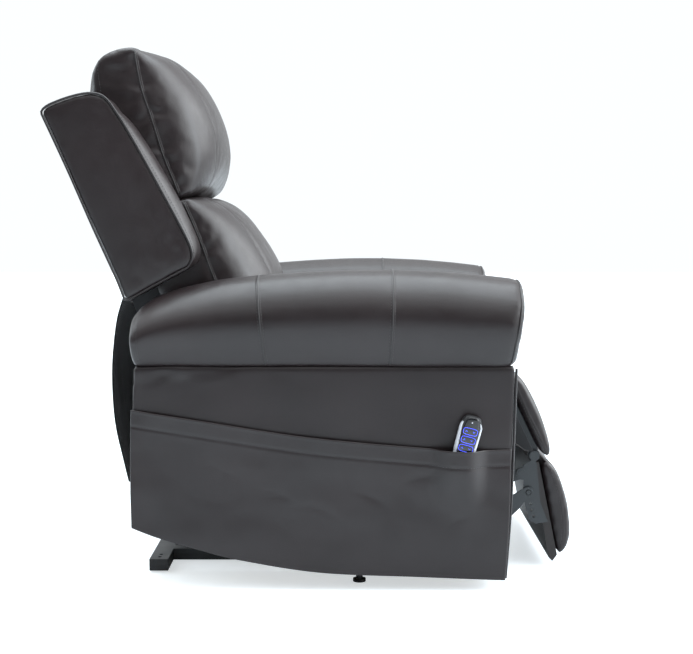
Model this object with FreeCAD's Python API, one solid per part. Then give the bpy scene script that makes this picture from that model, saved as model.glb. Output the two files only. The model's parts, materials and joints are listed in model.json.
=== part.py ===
import FreeCAD, Part
import math
import os

# Lift recliner chair. Millimetres. +Z is up, the chair faces -Y and +X is the sitter's left.
# The origin is on the floor below the middle of the whole chair.
# Sizes are given as (forward, up) in the side plane, with forward measured from the centre of the
# base frame, and place() turns them into X, Y, Z.

# ---- overall sizes -------------------------------------------------------------------
ORIGIN_FORWARD = 34.5        # from the centre of the base frame to the origin
SEAT_HALF = 265.0            # inner face of an arm
PANEL_OUT = 420.0            # outer face of an arm's side panel
ROLL_SEAM = 459.0            # height of the seam between roll and side panel
SKIN = 10.0                  # padded panel thickness
CUSHION_HALF = 262.0         # half width of seat and back cushions
ARM_GLIDE = (350.0, 127.0)   # sideways and forward
SEAT_TOP = 490.0
SEAT_BOTTOM = 400.0
SEAT_FRONT = 412.0
SEAT_REAR = -222.0
PAD_HALF = 250.0             # half width of the footrest pads and the rear cloth
WIRE_R = 1.8                 # seat and back springs

# ---- lift base -----------------------------------------------------------------------
BAR_HALF_LENGTH = 285.0
BAR_DEPTH = 40.0
BAR_HEIGHT = 25.0
BAR_LIFT = 4.0               # glides hold the tubes this far off the floor
BAR_WALL = 2.0
BAR_FORWARD = 303.0          # centre line of the front and rear crossbars
RAIL_IN = 170.0
RAIL_OUT = 200.0
BAR_TOP = BAR_LIFT + BAR_HEIGHT

# ---- pivots, (forward, up) -----------------------------------------------------------
FRONT_LINK_BASE = (257.0, 67.0)
REAR_LINK_BASE = (180.0, 85.0)
FRONT_LINK_TOP = (-17.0, 56.0)
REAR_LINK_TOP = (-320.0, 90.0)
LIFT_MOTOR_BASE = (200.0, 64.0)
LIFT_MOTOR_TOP = (50.0, 330.0)
BACK_PIVOT = (-245.0, 375.0)
BACK_MOTOR_FRONT = (-60.0, 330.0)
BACK_MOTOR_REAR = (-302.0, 334.0)
TORQUE_PIVOT = (246.7, 322.0)
FRONT_ARM_PIVOT = (297.9, 290.8)
CROSS_PIVOT = (264.2, 138.5)
FRONT_ARM_END = (319.9, 100.0)
REAR_ARM_END = (280.0, 96.0)
UPPER_LONG_END = (481.0, 206.0)
LOWER_LONG_END = (494.0, 166.0)
OTTOMAN_HINGE = (507.0, 245.0)
CALF_HINGE = (430.0, 402.0)
CRANK_PIN = (284.9, 346.3)
SLIDER_PIN = (200.0, 260.0)
SLIDER_ANGLE = -25.0         # slope of the footrest drive rail, degrees

# ---- layers of the mechanism, distance from the centre plane -------------------------
FRONT_LINK_LAYER = (190.0, 195.0)
BASE_BRACKET_LAYER = (200.0, 205.0)
LIFT_PLATE_LAYER = (208.0, 212.0)
REAR_LINK_LAYER = (216.0, 221.0)
SIDE_PLATE_LAYER = (222.0, 226.0)
LAYER_A = (228.0, 232.0)
LAYER_B = (234.0, 238.0)
LAYER_C = (240.0, 244.0)
LAYER_D = (246.0, 250.0)

PIN_R = 5.0                  # footrest pivots
BIG_PIN_R = 6.0              # lift, back and actuator pivots
HEAD_R = 9.0                 # flanged heads and clips of the big pins
HEAD = 2.5                   # thickness of a pin head
CLIP = 2.0                   # thickness of a retaining clip
RIVET_HEAD = 1.5
RUN = 0.1                    # running clearance on the radius
LINK_HALF = 12.0             # half width of a footrest link
TUBE_R = 11.0                # footrest torque tube
STUB_R = 8.0                 # its ends, where they pass the side plates

# ---- back ------------------------------------------------------------------------------
BACK_TILT = 21.4             # degrees behind vertical
BACK_FOOT = (-356.0, 585.0)  # lower rear corner of the upholstered back
BACK_HEIGHT = 432.0
STILE_IN = 232.0
STILE_OUT = 256.0
STILE_FACES = (5.0, 50.0)    # rear and front face, measured forward of the back's rear plane
WING_IN = 270.0
WING_OUT = 375.0

# ---- actuators -------------------------------------------------------------------------
BACK_MOTOR_X = 110.0
DRIVE_X = -110.0
EYE_HALF = 8.0               # half width of an actuator eye
EAR = 4.0                    # thickness of a clevis ear
CLEVIS_PIN = 16.0            # half length of an actuator pin
ROD_R = 10.0

# ---- handset ---------------------------------------------------------------------------
HANDSET_LEAN = 15.0          # degrees forward of vertical
HANDSET_FOOT = (321.0, 235.0)
HANDSET_LENGTH = 133.0
HANDSET_BACK = 422.0
HANDSET_FRONT = 444.0
HANDSET_TOP_HALF = 23.0
HANDSET_FOOT_HALF = 20.0
KEY_ROWS = 4
KEY_PITCH = 17.5
KEY_TOP = 101.0              # centre of the highest key row, along the handset
KEY_LENGTH = 36.0
KEY_WIDTH = 14.0


# ---- helpers ---------------------------------------------------------------------------
def place(x, forward, z):
    return FreeCAD.Vector(x, ORIGIN_FORWARD - forward, z)


def heading(forward, up):
    """A direction in the side plane."""
    return FreeCAD.Vector(0, -forward, up)


def polygon(x0, x1, points):
    """A plate whose outline is a polygon in the side plane, from x0 to x1."""
    spots = [place(x0, f, z) for f, z in points]
    face = Part.Face(Part.makePolygon(spots + spots[:1]))
    return face.extrude(FreeCAD.Vector(x1 - x0, 0, 0))


def outline_face(x, stretches):
    """Each stretch is a straight line (two points) or a smooth curve (three or more)."""
    edges = []
    for points in stretches:
        spots = [place(x, f, z) for f, z in points]
        if len(spots) == 2:
            edges.append(Part.makeLine(spots[0], spots[1]))
        else:
            curve = Part.BSplineCurve()
            curve.interpolate(spots)
            edges.append(curve.toShape())
    return Part.Face(Part.Wire(edges))


def slab(x0, x1, stretches):
    return outline_face(x0, stretches).extrude(FreeCAD.Vector(x1 - x0, 0, 0))


def block(x0, x1, f0, f1, z0, z1):
    return Part.makeBox(x1 - x0, f1 - f0, z1 - z0, place(x0, f1, z0))


def rod_across(x0, x1, centre, radius):
    """A round bar along X."""
    return Part.makeCylinder(radius, x1 - x0, place(x0, *centre), FreeCAD.Vector(1, 0, 0))


def mirrored(shape):
    return shape.mirror(FreeCAD.Vector(0, 0, 0), FreeCAD.Vector(1, 0, 0))


def pair(shape):
    """The same piece on the left and on the right."""
    return Part.makeCompound([shape, mirrored(shape)])


def fuse(shapes):
    return shapes[0].fuse(shapes[1:]).removeSplitter()


def square_tube(x0, x1, f0, f1, z0, z1, wall):
    """A tube along X."""
    inner = block(x0 - 1, x1 + 1, f0 + wall, f1 - wall, z0 + wall, z1 - wall)
    return block(x0, x1, f0, f1, z0, z1).cut(inner)


def bar_between(x0, x1, start, end, half):
    """A flat bar with round ends from one pivot to another."""
    df = end[0] - start[0]
    dz = end[1] - start[1]
    length = math.hypot(df, dz)
    nf = -dz / length * half
    nz = df / length * half
    corners = [(start[0] + nf, start[1] + nz), (end[0] + nf, end[1] + nz),
               (end[0] - nf, end[1] - nz), (start[0] - nf, start[1] - nz)]
    ends = [rod_across(x0, x1, start, half), rod_across(x0, x1, end, half)]
    return fuse([polygon(x0, x1, corners)] + ends)


def drilled(shape, x0, x1, holes):
    """holes is a list of (centre, radius)."""
    for centre, radius in holes:
        shape = shape.cut(rod_across(x0 - 1, x1 + 1, centre, radius))
    return shape


def link(layer, pivots, half, radii):
    """A link through two or three pivots, each with its own hole radius."""
    bars = [bar_between(layer[0], layer[1], a, b, half) for a, b in zip(pivots, pivots[1:])]
    body = fuse(bars) if len(bars) > 1 else bars[0]
    return drilled(body, layer[0], layer[1], list(zip(pivots, radii)))


def along(start, end):
    """Unit vector and length from one pivot to another."""
    df = end[0] - start[0]
    dz = end[1] - start[1]
    length = math.hypot(df, dz)
    return (df / length, dz / length), length


def step_from(start, direction, distance, sideways=0.0):
    """A point some way along a direction, and some way to its left."""
    return (start[0] + direction[0] * distance - direction[1] * sideways,
            start[1] + direction[1] * distance + direction[0] * sideways)


def cylinder_along(x, start, direction, s0, s1, radius):
    foot = step_from(start, direction, s0)
    axis = heading(*direction)
    return Part.makeCylinder(radius, s1 - s0, place(x, *foot), axis)


def box_along(x0, x1, start, direction, s0, s1, n0, n1):
    corners = [step_from(start, direction, s, n) for s, n in ((s0, n0), (s1, n0), (s1, n1), (s0, n1))]
    return polygon(x0, x1, corners)


def on_back(height, depth):
    """A point on the back: height up its slope, depth forward of its rear plane."""
    tilt = math.radians(BACK_TILT)
    return (BACK_FOOT[0] - height * math.sin(tilt) + depth * math.cos(tilt),
            BACK_FOOT[1] + height * math.cos(tilt) + depth * math.sin(tilt))


def ears(x, centre, half, up_points):
    """Two clevis ears either side of an eye, joined to whatever is at up_points."""
    shapes = []
    gap = EYE_HALF + 1.0
    for x0 in (x - gap - EAR, x + gap):
        plate = polygon(x0, x0 + EAR, up_points)
        ear = fuse([plate, rod_across(x0, x0 + EAR, centre, half)])
        shapes.append(drilled(ear, x0, x0 + EAR, [(centre, BIG_PIN_R)]))
    return shapes


# ---- lift base ------------------------------------------------------------------------
def base_crossbars():
    bars = []
    for sign in (-1, 1):
        centre = sign * BAR_FORWARD
        bar = square_tube(-BAR_HALF_LENGTH, BAR_HALF_LENGTH, centre - BAR_DEPTH / 2,
                          centre + BAR_DEPTH / 2, BAR_LIFT, BAR_TOP, BAR_WALL)
        for x in (-255, 255):
            stem_hole = Part.makeCylinder(4.2, 6, place(x, centre, BAR_LIFT - 2))
            bar = bar.cut(stem_hole)
        for x in (-268, -248, 248, 268):
            bolt_hole = Part.makeCylinder(4, 6, place(x, centre, BAR_TOP - 4))
            bar = bar.cut(bolt_hole)
        bars.append(bar)
    return Part.makeCompound(bars)


def base_side_rails():
    half = BAR_FORWARD - BAR_DEPTH / 2
    rail = block(RAIL_IN, RAIL_OUT, -half, half, BAR_LIFT, BAR_TOP)
    bore = block(RAIL_IN + BAR_WALL, RAIL_OUT - BAR_WALL, -half - 1, half + 1,
                 BAR_LIFT + BAR_WALL, BAR_TOP - BAR_WALL)
    return pair(rail.cut(bore))


def base_motor_crossmember():
    f, z = LIFT_MOTOR_BASE
    tube = square_tube(-RAIL_IN, RAIL_IN, f - 15, f + 15, BAR_LIFT, BAR_TOP, BAR_WALL)
    feet = [(f - 15, BAR_TOP), (f + 15, BAR_TOP), (f + 12, z), (f - 12, z)]
    return fuse([tube] + ears(0, LIFT_MOTOR_BASE, 12, feet))


def base_end_caps():
    caps = []
    gap = BAR_WALL + 0.3
    for sign in (-1, 1):
        f0 = sign * BAR_FORWARD - BAR_DEPTH / 2
        f1 = f0 + BAR_DEPTH
        plate = block(BAR_HALF_LENGTH, BAR_HALF_LENGTH + 3, f0, f1, BAR_LIFT, BAR_TOP)
        plug = block(BAR_HALF_LENGTH - 9, BAR_HALF_LENGTH, f0 + gap, f1 - gap, BAR_LIFT + gap, BAR_TOP - gap)
        cap = fuse([plate, plug])
        caps += [cap, mirrored(cap)]
    return Part.makeCompound(caps)


def base_glides():
    glides = []
    for f in (-BAR_FORWARD, BAR_FORWARD):
        for x in (-255, 255):
            disc = Part.makeCone(15, 17, BAR_LIFT, place(x, f, 0))
            stem = Part.makeCylinder(4, 5, place(x, f, BAR_LIFT - 1))
            glides.append(fuse([disc, stem]))
    return Part.makeCompound(glides)


def base_pivot_brackets():
    front = FRONT_LINK_BASE
    rear = REAR_LINK_BASE
    x0, x1 = BASE_BRACKET_LAYER
    body = polygon(x0, x1, [(148, 6), (279, 6), (273, front[1]), (rear[0] + 5, rear[1] + 13),
                            (rear[0] - 14, rear[1])])
    plate = fuse([body, rod_across(x0, x1, front, 16), rod_across(x0, x1, rear, 15)])
    return pair(drilled(plate, x0, x1, [(front, BIG_PIN_R), (rear, BIG_PIN_R)]))


def base_pivot_pins():
    bracket_in, bracket_out = BASE_BRACKET_LAYER
    front_end = FRONT_LINK_LAYER[0] - 1
    rear_end = REAR_LINK_LAYER[1] + 0.5
    inner = rod_across(front_end - CLIP, bracket_out, FRONT_LINK_BASE, BIG_PIN_R)
    inner_head = rod_across(bracket_out, bracket_out + HEAD, FRONT_LINK_BASE, HEAD_R)
    inner_clip = rod_across(front_end - CLIP, front_end, FRONT_LINK_BASE, HEAD_R)
    outer = rod_across(bracket_in, rear_end + CLIP, REAR_LINK_BASE, BIG_PIN_R)
    outer_head = rod_across(bracket_in - HEAD, bracket_in, REAR_LINK_BASE, HEAD_R)
    spacer = rod_across(bracket_out, REAR_LINK_LAYER[0] - 0.5, REAR_LINK_BASE, HEAD_R)
    outer_clip = rod_across(rear_end, rear_end + CLIP, REAR_LINK_BASE, HEAD_R)
    motor_pin = rod_across(-CLEVIS_PIN, CLEVIS_PIN, LIFT_MOTOR_BASE, BIG_PIN_R)
    front_pin = fuse([inner, inner_head, inner_clip])
    rear_pin = fuse([outer, outer_head, spacer, outer_clip])
    shapes = [front_pin, rear_pin, mirrored(front_pin), mirrored(rear_pin), motor_pin]
    return Part.makeCompound(shapes)


def power_cable():
    """A slack loop of the supply cable, clipped to the inner side of the right rail."""
    x = -RAIL_IN + 6
    points = [place(x, -112, 33), place(x, -128, 40), place(x, -146, 22), place(x, -154, 8),
              place(x, -164, 9), place(x, -172, 24), place(x, -190, 40), place(x, -215, 40),
              place(x, -260, 33)]
    path = Part.BSplineCurve()
    path.interpolate(points)
    start = Part.Circle(points[0], path.tangent(0.0)[0], 3.2)
    section = Part.Wire(start.toShape())
    return Part.Wire(path.toShape()).makePipeShell([section], True, False)


# ---- lift links and chair frame -------------------------------------------------------
def front_lift_links():
    radii = (BIG_PIN_R + RUN, BIG_PIN_R + 1.2)
    return pair(link(FRONT_LINK_LAYER, [FRONT_LINK_BASE, FRONT_LINK_TOP], 14, radii))


def rear_lift_links():
    radii = (BIG_PIN_R + RUN, BIG_PIN_R + RUN)
    return pair(link(REAR_LINK_LAYER, [REAR_LINK_BASE, REAR_LINK_TOP], 15, radii))


def lift_frame_plates():
    x0, x1 = LIFT_PLATE_LAYER
    body = polygon(x0, x1, [(-336, 90), (-304, 90), (-285, 118), (-45, 118), (-33, 56), (-1, 56), (12, 118),
                            (300, 118), (300, 165), (-336, 165)])
    tabs = [rod_across(x0, x1, REAR_LINK_TOP, 16), rod_across(x0, x1, FRONT_LINK_TOP, 16)]
    plate = fuse([body] + tabs)
    return pair(drilled(plate, x0, x1, [(REAR_LINK_TOP, BIG_PIN_R), (FRONT_LINK_TOP, BIG_PIN_R)]))


def chair_pivot_pins():
    plate_in, plate_out = LIFT_PLATE_LAYER
    front_end = FRONT_LINK_LAYER[0] - 1
    rear_end = REAR_LINK_LAYER[1] + 0.5
    front = fuse([rod_across(front_end - CLIP, plate_out, FRONT_LINK_TOP, BIG_PIN_R),
                  rod_across(plate_out, plate_out + HEAD, FRONT_LINK_TOP, HEAD_R),
                  rod_across(front_end - CLIP, front_end, FRONT_LINK_TOP, HEAD_R)])
    rear = fuse([rod_across(plate_in, rear_end + CLIP, REAR_LINK_TOP, BIG_PIN_R),
                 rod_across(plate_in - HEAD, plate_in, REAR_LINK_TOP, HEAD_R),
                 rod_across(rear_end, rear_end + CLIP, REAR_LINK_TOP, HEAD_R)])
    shapes = [front, rear]
    side_in, side_out = SIDE_PLATE_LAYER
    for centre, radius in ((FRONT_ARM_PIVOT, PIN_R), (CALF_HINGE, PIN_R), (BACK_PIVOT, BIG_PIN_R)):
        shapes.append(fuse([rod_across(side_in, LAYER_A[1] + RIVET_HEAD, centre, radius),
                            rod_across(side_out, side_out + RIVET_HEAD, centre, radius + 2)]))
    shapes += [mirrored(shape) for shape in shapes]
    shapes.append(rod_across(-CLEVIS_PIN, CLEVIS_PIN, LIFT_MOTOR_TOP, BIG_PIN_R))
    shapes.append(rod_across(BACK_MOTOR_X - CLEVIS_PIN, BACK_MOTOR_X + CLEVIS_PIN, BACK_MOTOR_FRONT,
                             BIG_PIN_R))
    return Part.makeCompound(shapes)


def chassis_cross_tubes():
    low = [square_tube(-SEAT_HALF, SEAT_HALF, f, f + 25, 118, 143, BAR_WALL) for f in (-296, 32)]
    windows = [block(side - 3, side + 3, f - 1, f + 26, 117, 144)
               for side in (-210, 210) for f in (-296, 32)]
    tubes = []
    for tube in low:
        for window in windows:
            tube = tube.cut(window)
        tubes += tube.Solids
    side = SIDE_PLATE_LAYER[0]
    for pivot, x in ((LIFT_MOTOR_TOP, 0.0), (BACK_MOTOR_FRONT, BACK_MOTOR_X)):
        f = pivot[0]
        z = pivot[1] + 18
        tube = square_tube(-side + 25, side - 25, f - 15, f + 15, z, z + 25, BAR_WALL)
        feet = [(f - 15, z), (f + 15, z), (f + 12, pivot[1]), (f - 12, pivot[1])]
        tubes.append(fuse([tube] + ears(x, pivot, 12, feet)))
    return Part.makeCompound(tubes)


def mechanism_side_plates():
    x0, x1 = SIDE_PLATE_LAYER
    back = BACK_PIVOT
    front = FRONT_ARM_PIVOT
    torque = TORQUE_PIVOT
    body = polygon(x0, x1, [(back[0], back[1] - 16), (-150, 335), (200, 335),
                            (torque[0] - 16, torque[1] - 12),
                            (front[0] - 8, front[1] - 14), (front[0] + 14, front[1] + 4),
                            (330, 350), (CALF_HINGE[0] + 4, CALF_HINGE[1] - 11),
                            (CALF_HINGE[0], CALF_HINGE[1] + 11), (414, 392), (back[0], back[1] + 16)])
    legs = [polygon(x0, x1, [(f, 168), (f + 40, 168), (f + 40, 340), (f, 340)]) for f in (-160, 90)]
    feet = [block(LIFT_PLATE_LAYER[1], x1, f, f + 40, 150, 168) for f in (-160, 90)]
    ends = [rod_across(x0, x1, back, 16), rod_across(x0, x1, front, 15), rod_across(x0, x1, CALF_HINGE, 12)]
    plate = fuse([body] + legs + feet + ends)
    holes = [(back, BIG_PIN_R), (front, PIN_R), (CALF_HINGE, PIN_R), (torque, STUB_R + RUN)]
    return pair(drilled(plate, x0, x1, holes))


# ---- seat -----------------------------------------------------------------------------
def seat_frame():
    side = SIDE_PLATE_LAYER[0]
    rail = 25
    outer = block(-side, side, SEAT_REAR, 395, 355, 392)
    inner = block(-side + rail, side - rail, SEAT_REAR + rail, 395 - rail, 354, 393)
    relief = rod_across(-side - 1, side + 1, TORQUE_PIVOT, TUBE_R + 3)
    return outer.cut(inner).cut(relief)


def wave_wire(start, end, sway, turns, radius):
    """A flat sinuous spring wire: straight crossings joined by half-round bends."""
    pitch = (end - start) * (1.0 / turns)
    reach = sway.Length - pitch.Length / 2
    across = FreeCAD.Vector(sway).normalize()
    edges = []
    for i in range(turns):
        side = 1 if i % 2 == 0 else -1
        low = start + pitch * i - across * reach * side
        high = start + pitch * i + across * reach * side
        edges.append(Part.makeLine(low, high))
        if i < turns - 1:
            top = high + pitch * 0.5 + across * (pitch.Length / 2) * side
            edges.append(Part.Arc(high, top, high + pitch).toShape())
    ring = Part.Circle(start - across * reach, across, radius)
    return Part.Wire(edges).makePipe(Part.Face(Part.Wire(ring.toShape())))


def seat_springs():
    springs = []
    for x in (-150, -75, 0, 75, 150):
        start = place(x, SEAT_REAR + 26, 394.8)
        end = place(x, 369, 394.8)
        springs.append(wave_wire(start, end, FreeCAD.Vector(30, 0, 0), 26, WIRE_R))
    return Part.makeCompound(springs)


def seat_cushion():
    stretches = [
        [(SEAT_REAR, SEAT_BOTTOM), (SEAT_FRONT - 16, SEAT_BOTTOM)],
        [(SEAT_FRONT - 16, SEAT_BOTTOM), (SEAT_FRONT, 428), (SEAT_FRONT - 4, 462),
         (SEAT_FRONT - 40, SEAT_TOP + 2)],
        [(SEAT_FRONT - 40, SEAT_TOP + 2), (200, SEAT_TOP + 6), (0, SEAT_TOP), (SEAT_REAR, SEAT_TOP - 16)],
        [(SEAT_REAR, SEAT_TOP - 16), (SEAT_REAR, SEAT_BOTTOM)]]
    return slab(-CUSHION_HALF, CUSHION_HALF, stretches)


# ---- arms -----------------------------------------------------------------------------
def side_panels():
    """Straight front and rear edges and a bottom that rises to the rear."""
    stretches = [
        [(-338, 126), (-273, 105), (-117, 62), (46, 35), (250, 25.5), (424, 18)],
        [(424, 18), (434, 188), (443, ROLL_SEAM)],
        [(443, ROLL_SEAM), (-330, ROLL_SEAM)],
        [(-330, ROLL_SEAM), (-341, 230), (-338, 126)]]
    return pair(slab(PANEL_OUT - SKIN, PANEL_OUT, stretches))


def arm_inner_panels():
    x0 = SEAT_HALF
    outline = [(-332, 140), (-273, 120), (-60, 76), (60, 66), (422, 66), (432, ROLL_SEAM), (-330, ROLL_SEAM)]
    return pair(polygon(x0, x0 + SKIN, outline))


def arm_front_panels():
    x0 = SEAT_HALF + SKIN
    x1 = PANEL_OUT - SKIN
    stretches = [[(411, 22), (424, 22)], [(424, 22), (434, 188), (443, ROLL_SEAM)],
                 [(443, ROLL_SEAM), (431, ROLL_SEAM)], [(431, ROLL_SEAM), (423, 188), (411, 22)]]
    return pair(slab(x0, x1, stretches))


def arm_frames():
    """A wooden box frame inside each arm: two side boards with windows, joined by three boards."""
    x0 = SEAT_HALF + SKIN
    x1 = PANEL_OUT - SKIN
    board = 15
    outline = [(-324, 140), (-273, 122), (-60, 80), (60, 68), (405, 66), (419, 300), (424, 455), (-324, 455)]
    window = [(-270, 170), (-60, 130), (60, 116), (360, 112), (370, 405), (-270, 405)]
    full = polygon(x0, x1, outline).cut(polygon(x0 - 1, x1 + 1, window))
    hollow = polygon(x0 + board, x1 - board, [(-300, 186), (-273, 140), (60, 90), (385, 86), (398, 440),
                                              (-300, 440)])
    return pair(full.cut(hollow))


def arm_roll(side):
    """Roll over the arm: its section across the chair, cut to its outline from the side."""
    section = [
        [(SEAT_HALF, ROLL_SEAM + 1), (SEAT_HALF, 606)],
        [(SEAT_HALF, 606), (288, 640), (330, 655), (370, 656), (410, 645), (442, 612), (459, 570), (457, 530),
         (441, 492), (PANEL_OUT - 3, ROLL_SEAM + 1)],
        [(PANEL_OUT - 3, ROLL_SEAM + 1), (SEAT_HALF, ROLL_SEAM + 1)]]
    edges = []
    for points in section:
        spots = [FreeCAD.Vector(x, -500, z) for x, z in points]
        if len(spots) == 2:
            edges.append(Part.makeLine(spots[0], spots[1]))
        else:
            curve = Part.BSplineCurve()
            curve.interpolate(spots)
            edges.append(curve.toShape())
    bar = Part.Face(Part.Wire(edges)).extrude(FreeCAD.Vector(0, 900, 0))
    outline = [
        [(-330, ROLL_SEAM), (-334, 551), (-337, 567)],
        [(-337, 567), (-291, 600), (-240, 618), (-158, 636), (5, 651), (195, 656), (372, 644), (444, 628),
         (464, 591)],
        [(464, 591), (452, 515), (443, ROLL_SEAM)],
        [(443, ROLL_SEAM), (-330, ROLL_SEAM)]]
    roll = bar.common(slab(200, 500, outline))
    return roll if side > 0 else mirrored(roll)


def arm_rolls():
    return Part.makeCompound([arm_roll(1), arm_roll(-1)])


def side_pockets():
    """A full-width pocket on each side panel, open along its top edge."""
    top = [(-335, 374), (-194, 352), (6, 321), (208, 301), (329, 293), (435, 293)]
    outline = [
        [(-337, 134), (-273, 113), (-117, 70), (46, 43), (250, 33), (422, 26)],
        [(422, 26), (435, 293)],
        list(reversed(top)),
        [(-335, 374), (-337, 134)]]
    half_outer = PANEL_OUT + 30
    section = [(PANEL_OUT + 0.5, 20), (PANEL_OUT + 8, 30), (PANEL_OUT + 24, 140), (half_outer, 215),
               (half_outer, 400), (half_outer - 2.5, 400), (half_outer - 2.5, 213), (PANEL_OUT + 14, 160),
               (PANEL_OUT + 0.5, 130)]
    spots = [FreeCAD.Vector(x, -500, z) for x, z in section]
    wall = Part.Face(Part.makePolygon(spots + spots[:1])).extrude(FreeCAD.Vector(0, 900, 0))
    ends = [block(PANEL_OUT + 0.5, half_outer - 2, f, f + 8, 150, 400) for f in (-337, 427)]
    sheet = fuse([wall] + ends).common(slab(PANEL_OUT, half_outer + 1, outline))
    return pair(sheet)


def arm_glides():
    x, f = ARM_GLIDE
    disc = Part.makeCylinder(13.5, 6, place(x, f, 0))
    stem = Part.makeCylinder(7, 54, place(x, f, 6))
    return pair(fuse([disc, stem]))


# ---- back -----------------------------------------------------------------------------
def back_frame():
    rear, front = STILE_FACES
    stile = polygon(STILE_IN, STILE_OUT, [on_back(-205, rear), on_back(425, rear), on_back(425, front),
                                          on_back(-205, front)])
    rails = [polygon(-STILE_IN, STILE_IN, [on_back(a, rear + 8), on_back(a + 45, rear + 8),
                                           on_back(a + 45, front), on_back(a, front)])
             for a in (-190, 110, 375)]
    return fuse([stile, mirrored(stile)] + rails)


def back_brackets():
    x0, x1 = LAYER_A
    rear, front = STILE_FACES
    strip = polygon(x0, x1, [on_back(-236, 12), on_back(-195, rear), on_back(-195, front), on_back(-236, 41)])
    boss = rod_across(x0, x1, BACK_PIVOT, 17)
    side = drilled(fuse([strip, boss]), x0, x1, [(BACK_PIVOT, BIG_PIN_R + RUN)])
    crank_top = [on_back(-190, rear + 8), on_back(-190, front), step_from(BACK_MOTOR_REAR, (1, 0), 13),
                 step_from(BACK_MOTOR_REAR, (1, 0), -13)]
    plates = [side, mirrored(side)] + ears(BACK_MOTOR_X, BACK_MOTOR_REAR, 13, crank_top)
    plates.append(rod_across(BACK_MOTOR_X - CLEVIS_PIN, BACK_MOTOR_X + CLEVIS_PIN, BACK_MOTOR_REAR,
                             BIG_PIN_R))
    return Part.makeCompound(plates)


def back_springs():
    springs = []
    depth = STILE_FACES[1] + 2.2
    for height in (-60, 10, 60, 200, 260, 330):
        f, z = on_back(height, depth)
        up = on_back(height + 20, depth)
        sway = heading(up[0] - f, up[1] - z)
        springs.append(wave_wire(place(-236, f, z), place(236, f, z), sway, 20, WIRE_R))
    return Part.makeCompound(springs)


def outside_back_panel():
    corners = [on_back(-5, -8), on_back(BACK_HEIGHT, -8), on_back(BACK_HEIGHT, 3), on_back(-5, 3)]
    return polygon(-WING_IN + 2, WING_IN - 2, corners)


def back_wings():
    stretches = [
        [(-357, 600), (-372, 639), (-415, 736), (-466, 856), (-518, 972)],
        [(-518, 972), (-506, 984), (-481, 995), (-454, 1004), (-427, 1010), (-407, 1010), (-388, 1003),
         (-372, 984)],
        [(-372, 984), (-345, 944), (-310, 882), (-271, 810), (-240, 752), (-217, 705)],
        [(-217, 705), (-211, 680), (-221, 657)],
        [(-221, 657), (-291, 620), (-326, 601), (-344, 591)],
        [(-344, 591), (-354, 591), (-357, 600)]]
    return pair(slab(WING_IN, WING_OUT, stretches))


def head_cushion():
    rear = STILE_FACES[1] + 6
    low_rear = on_back(171, rear)
    high_rear = on_back(425, rear)
    stretches = [
        [low_rear, high_rear],
        [high_rear, (-438, 1030), (-436, 1062), (-420, 1092), (-389, 1109), (-345, 1117)],
        [(-345, 1117), (-304, 1118), (-267, 1105), (-236, 1073), (-209, 1035), (-187, 992), (-176, 952),
         (-171, 909),
         (-174, 874), (-183, 843), (-198, 816)],
        [(-198, 816), low_rear]]
    return slab(-CUSHION_HALF, CUSHION_HALF, stretches)


def lumbar_cushion():
    rear = STILE_FACES[1] + 6
    low_rear = on_back(-104, rear)
    high_rear = on_back(166, rear)
    stretches = [
        [low_rear, high_rear],
        [high_rear, (-200, 804)],
        [(-200, 804), (-160, 790), (-131, 768), (-105, 737), (-78, 696), (-56, 655), (-44, 622), (-35, 580),
         (-34, 545), (-60, 506)],
        [(-60, 506), low_rear]]
    return slab(-CUSHION_HALF, CUSHION_HALF, stretches)


def back_cloth(points):
    """A hanging sheet between the arms, 3 thick."""
    inner = [(f + 3, z) for f, z in reversed(points)]
    return slab(-PAD_HALF, PAD_HALF, [points, [points[-1], inner[0]], inner, [inner[-1], points[0]]])


def lower_back_cloth():
    return back_cloth([(-375, 194), (-383, 248), (-395, 314), (-401, 368), (-403, 400)])


def upper_back_cloth():
    return back_cloth([(-401, 480), (-393, 545), (-386, 574)])


# ---- actuators ------------------------------------------------------------------------
def actuator_housing(x, start, end, tube_end, motor_side):
    """Eye, gearbox and outer tube on the pivot line, with the motor beside them."""
    direction, _ = along(start, end)
    eye = rod_across(x - EYE_HALF, x + EYE_HALF, start, 12)
    neck = box_along(x - EYE_HALF, x + EYE_HALF, start, direction, 0, 24, -9, 9)
    gearbox = box_along(x - 26, x + 26, start, direction, 18, 58, -24, 24)
    tube = cylinder_along(x, start, direction, 58, tube_end, ROD_R + 6)
    motor_x = x + motor_side * 48
    motor = cylinder_along(motor_x, start, direction, 26, 140, 22)
    bridge = box_along(min(x, motor_x), max(x, motor_x), start, direction, 28, 54, -18, 18)
    body = fuse([eye, neck, gearbox, tube, motor, bridge])
    bore = cylinder_along(x, start, direction, 40, tube_end + 1, ROD_R + 0.4)
    return drilled(body.cut(bore), x - 90, x + 90, [(start, BIG_PIN_R + RUN)])


def actuator_rod(x, start, end, inside, slack):
    """slack opens the eye round its pin: this end of the loop is left open."""
    direction, length = along(start, end)
    shaft = cylinder_along(x, start, direction, inside, length - 16, ROD_R)
    neck = box_along(x - EYE_HALF, x + EYE_HALF, start, direction, length - 18, length, -5, 5)
    eye = rod_across(x - EYE_HALF, x + EYE_HALF, end, 12)
    return drilled(fuse([shaft, neck, eye]), x - 9, x + 9, [(end, BIG_PIN_R + slack)])


def lift_actuator_housing():
    return actuator_housing(0, LIFT_MOTOR_BASE, LIFT_MOTOR_TOP, 262, 1)


def lift_actuator_rod():
    return actuator_rod(0, LIFT_MOTOR_BASE, LIFT_MOTOR_TOP, 66, 3.2)


def back_actuator_housing():
    return actuator_housing(BACK_MOTOR_X, BACK_MOTOR_FRONT, BACK_MOTOR_REAR, 178, -1)


def back_actuator_rod():
    return actuator_rod(BACK_MOTOR_X, BACK_MOTOR_FRONT, BACK_MOTOR_REAR, 86, 3.2)


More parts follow.
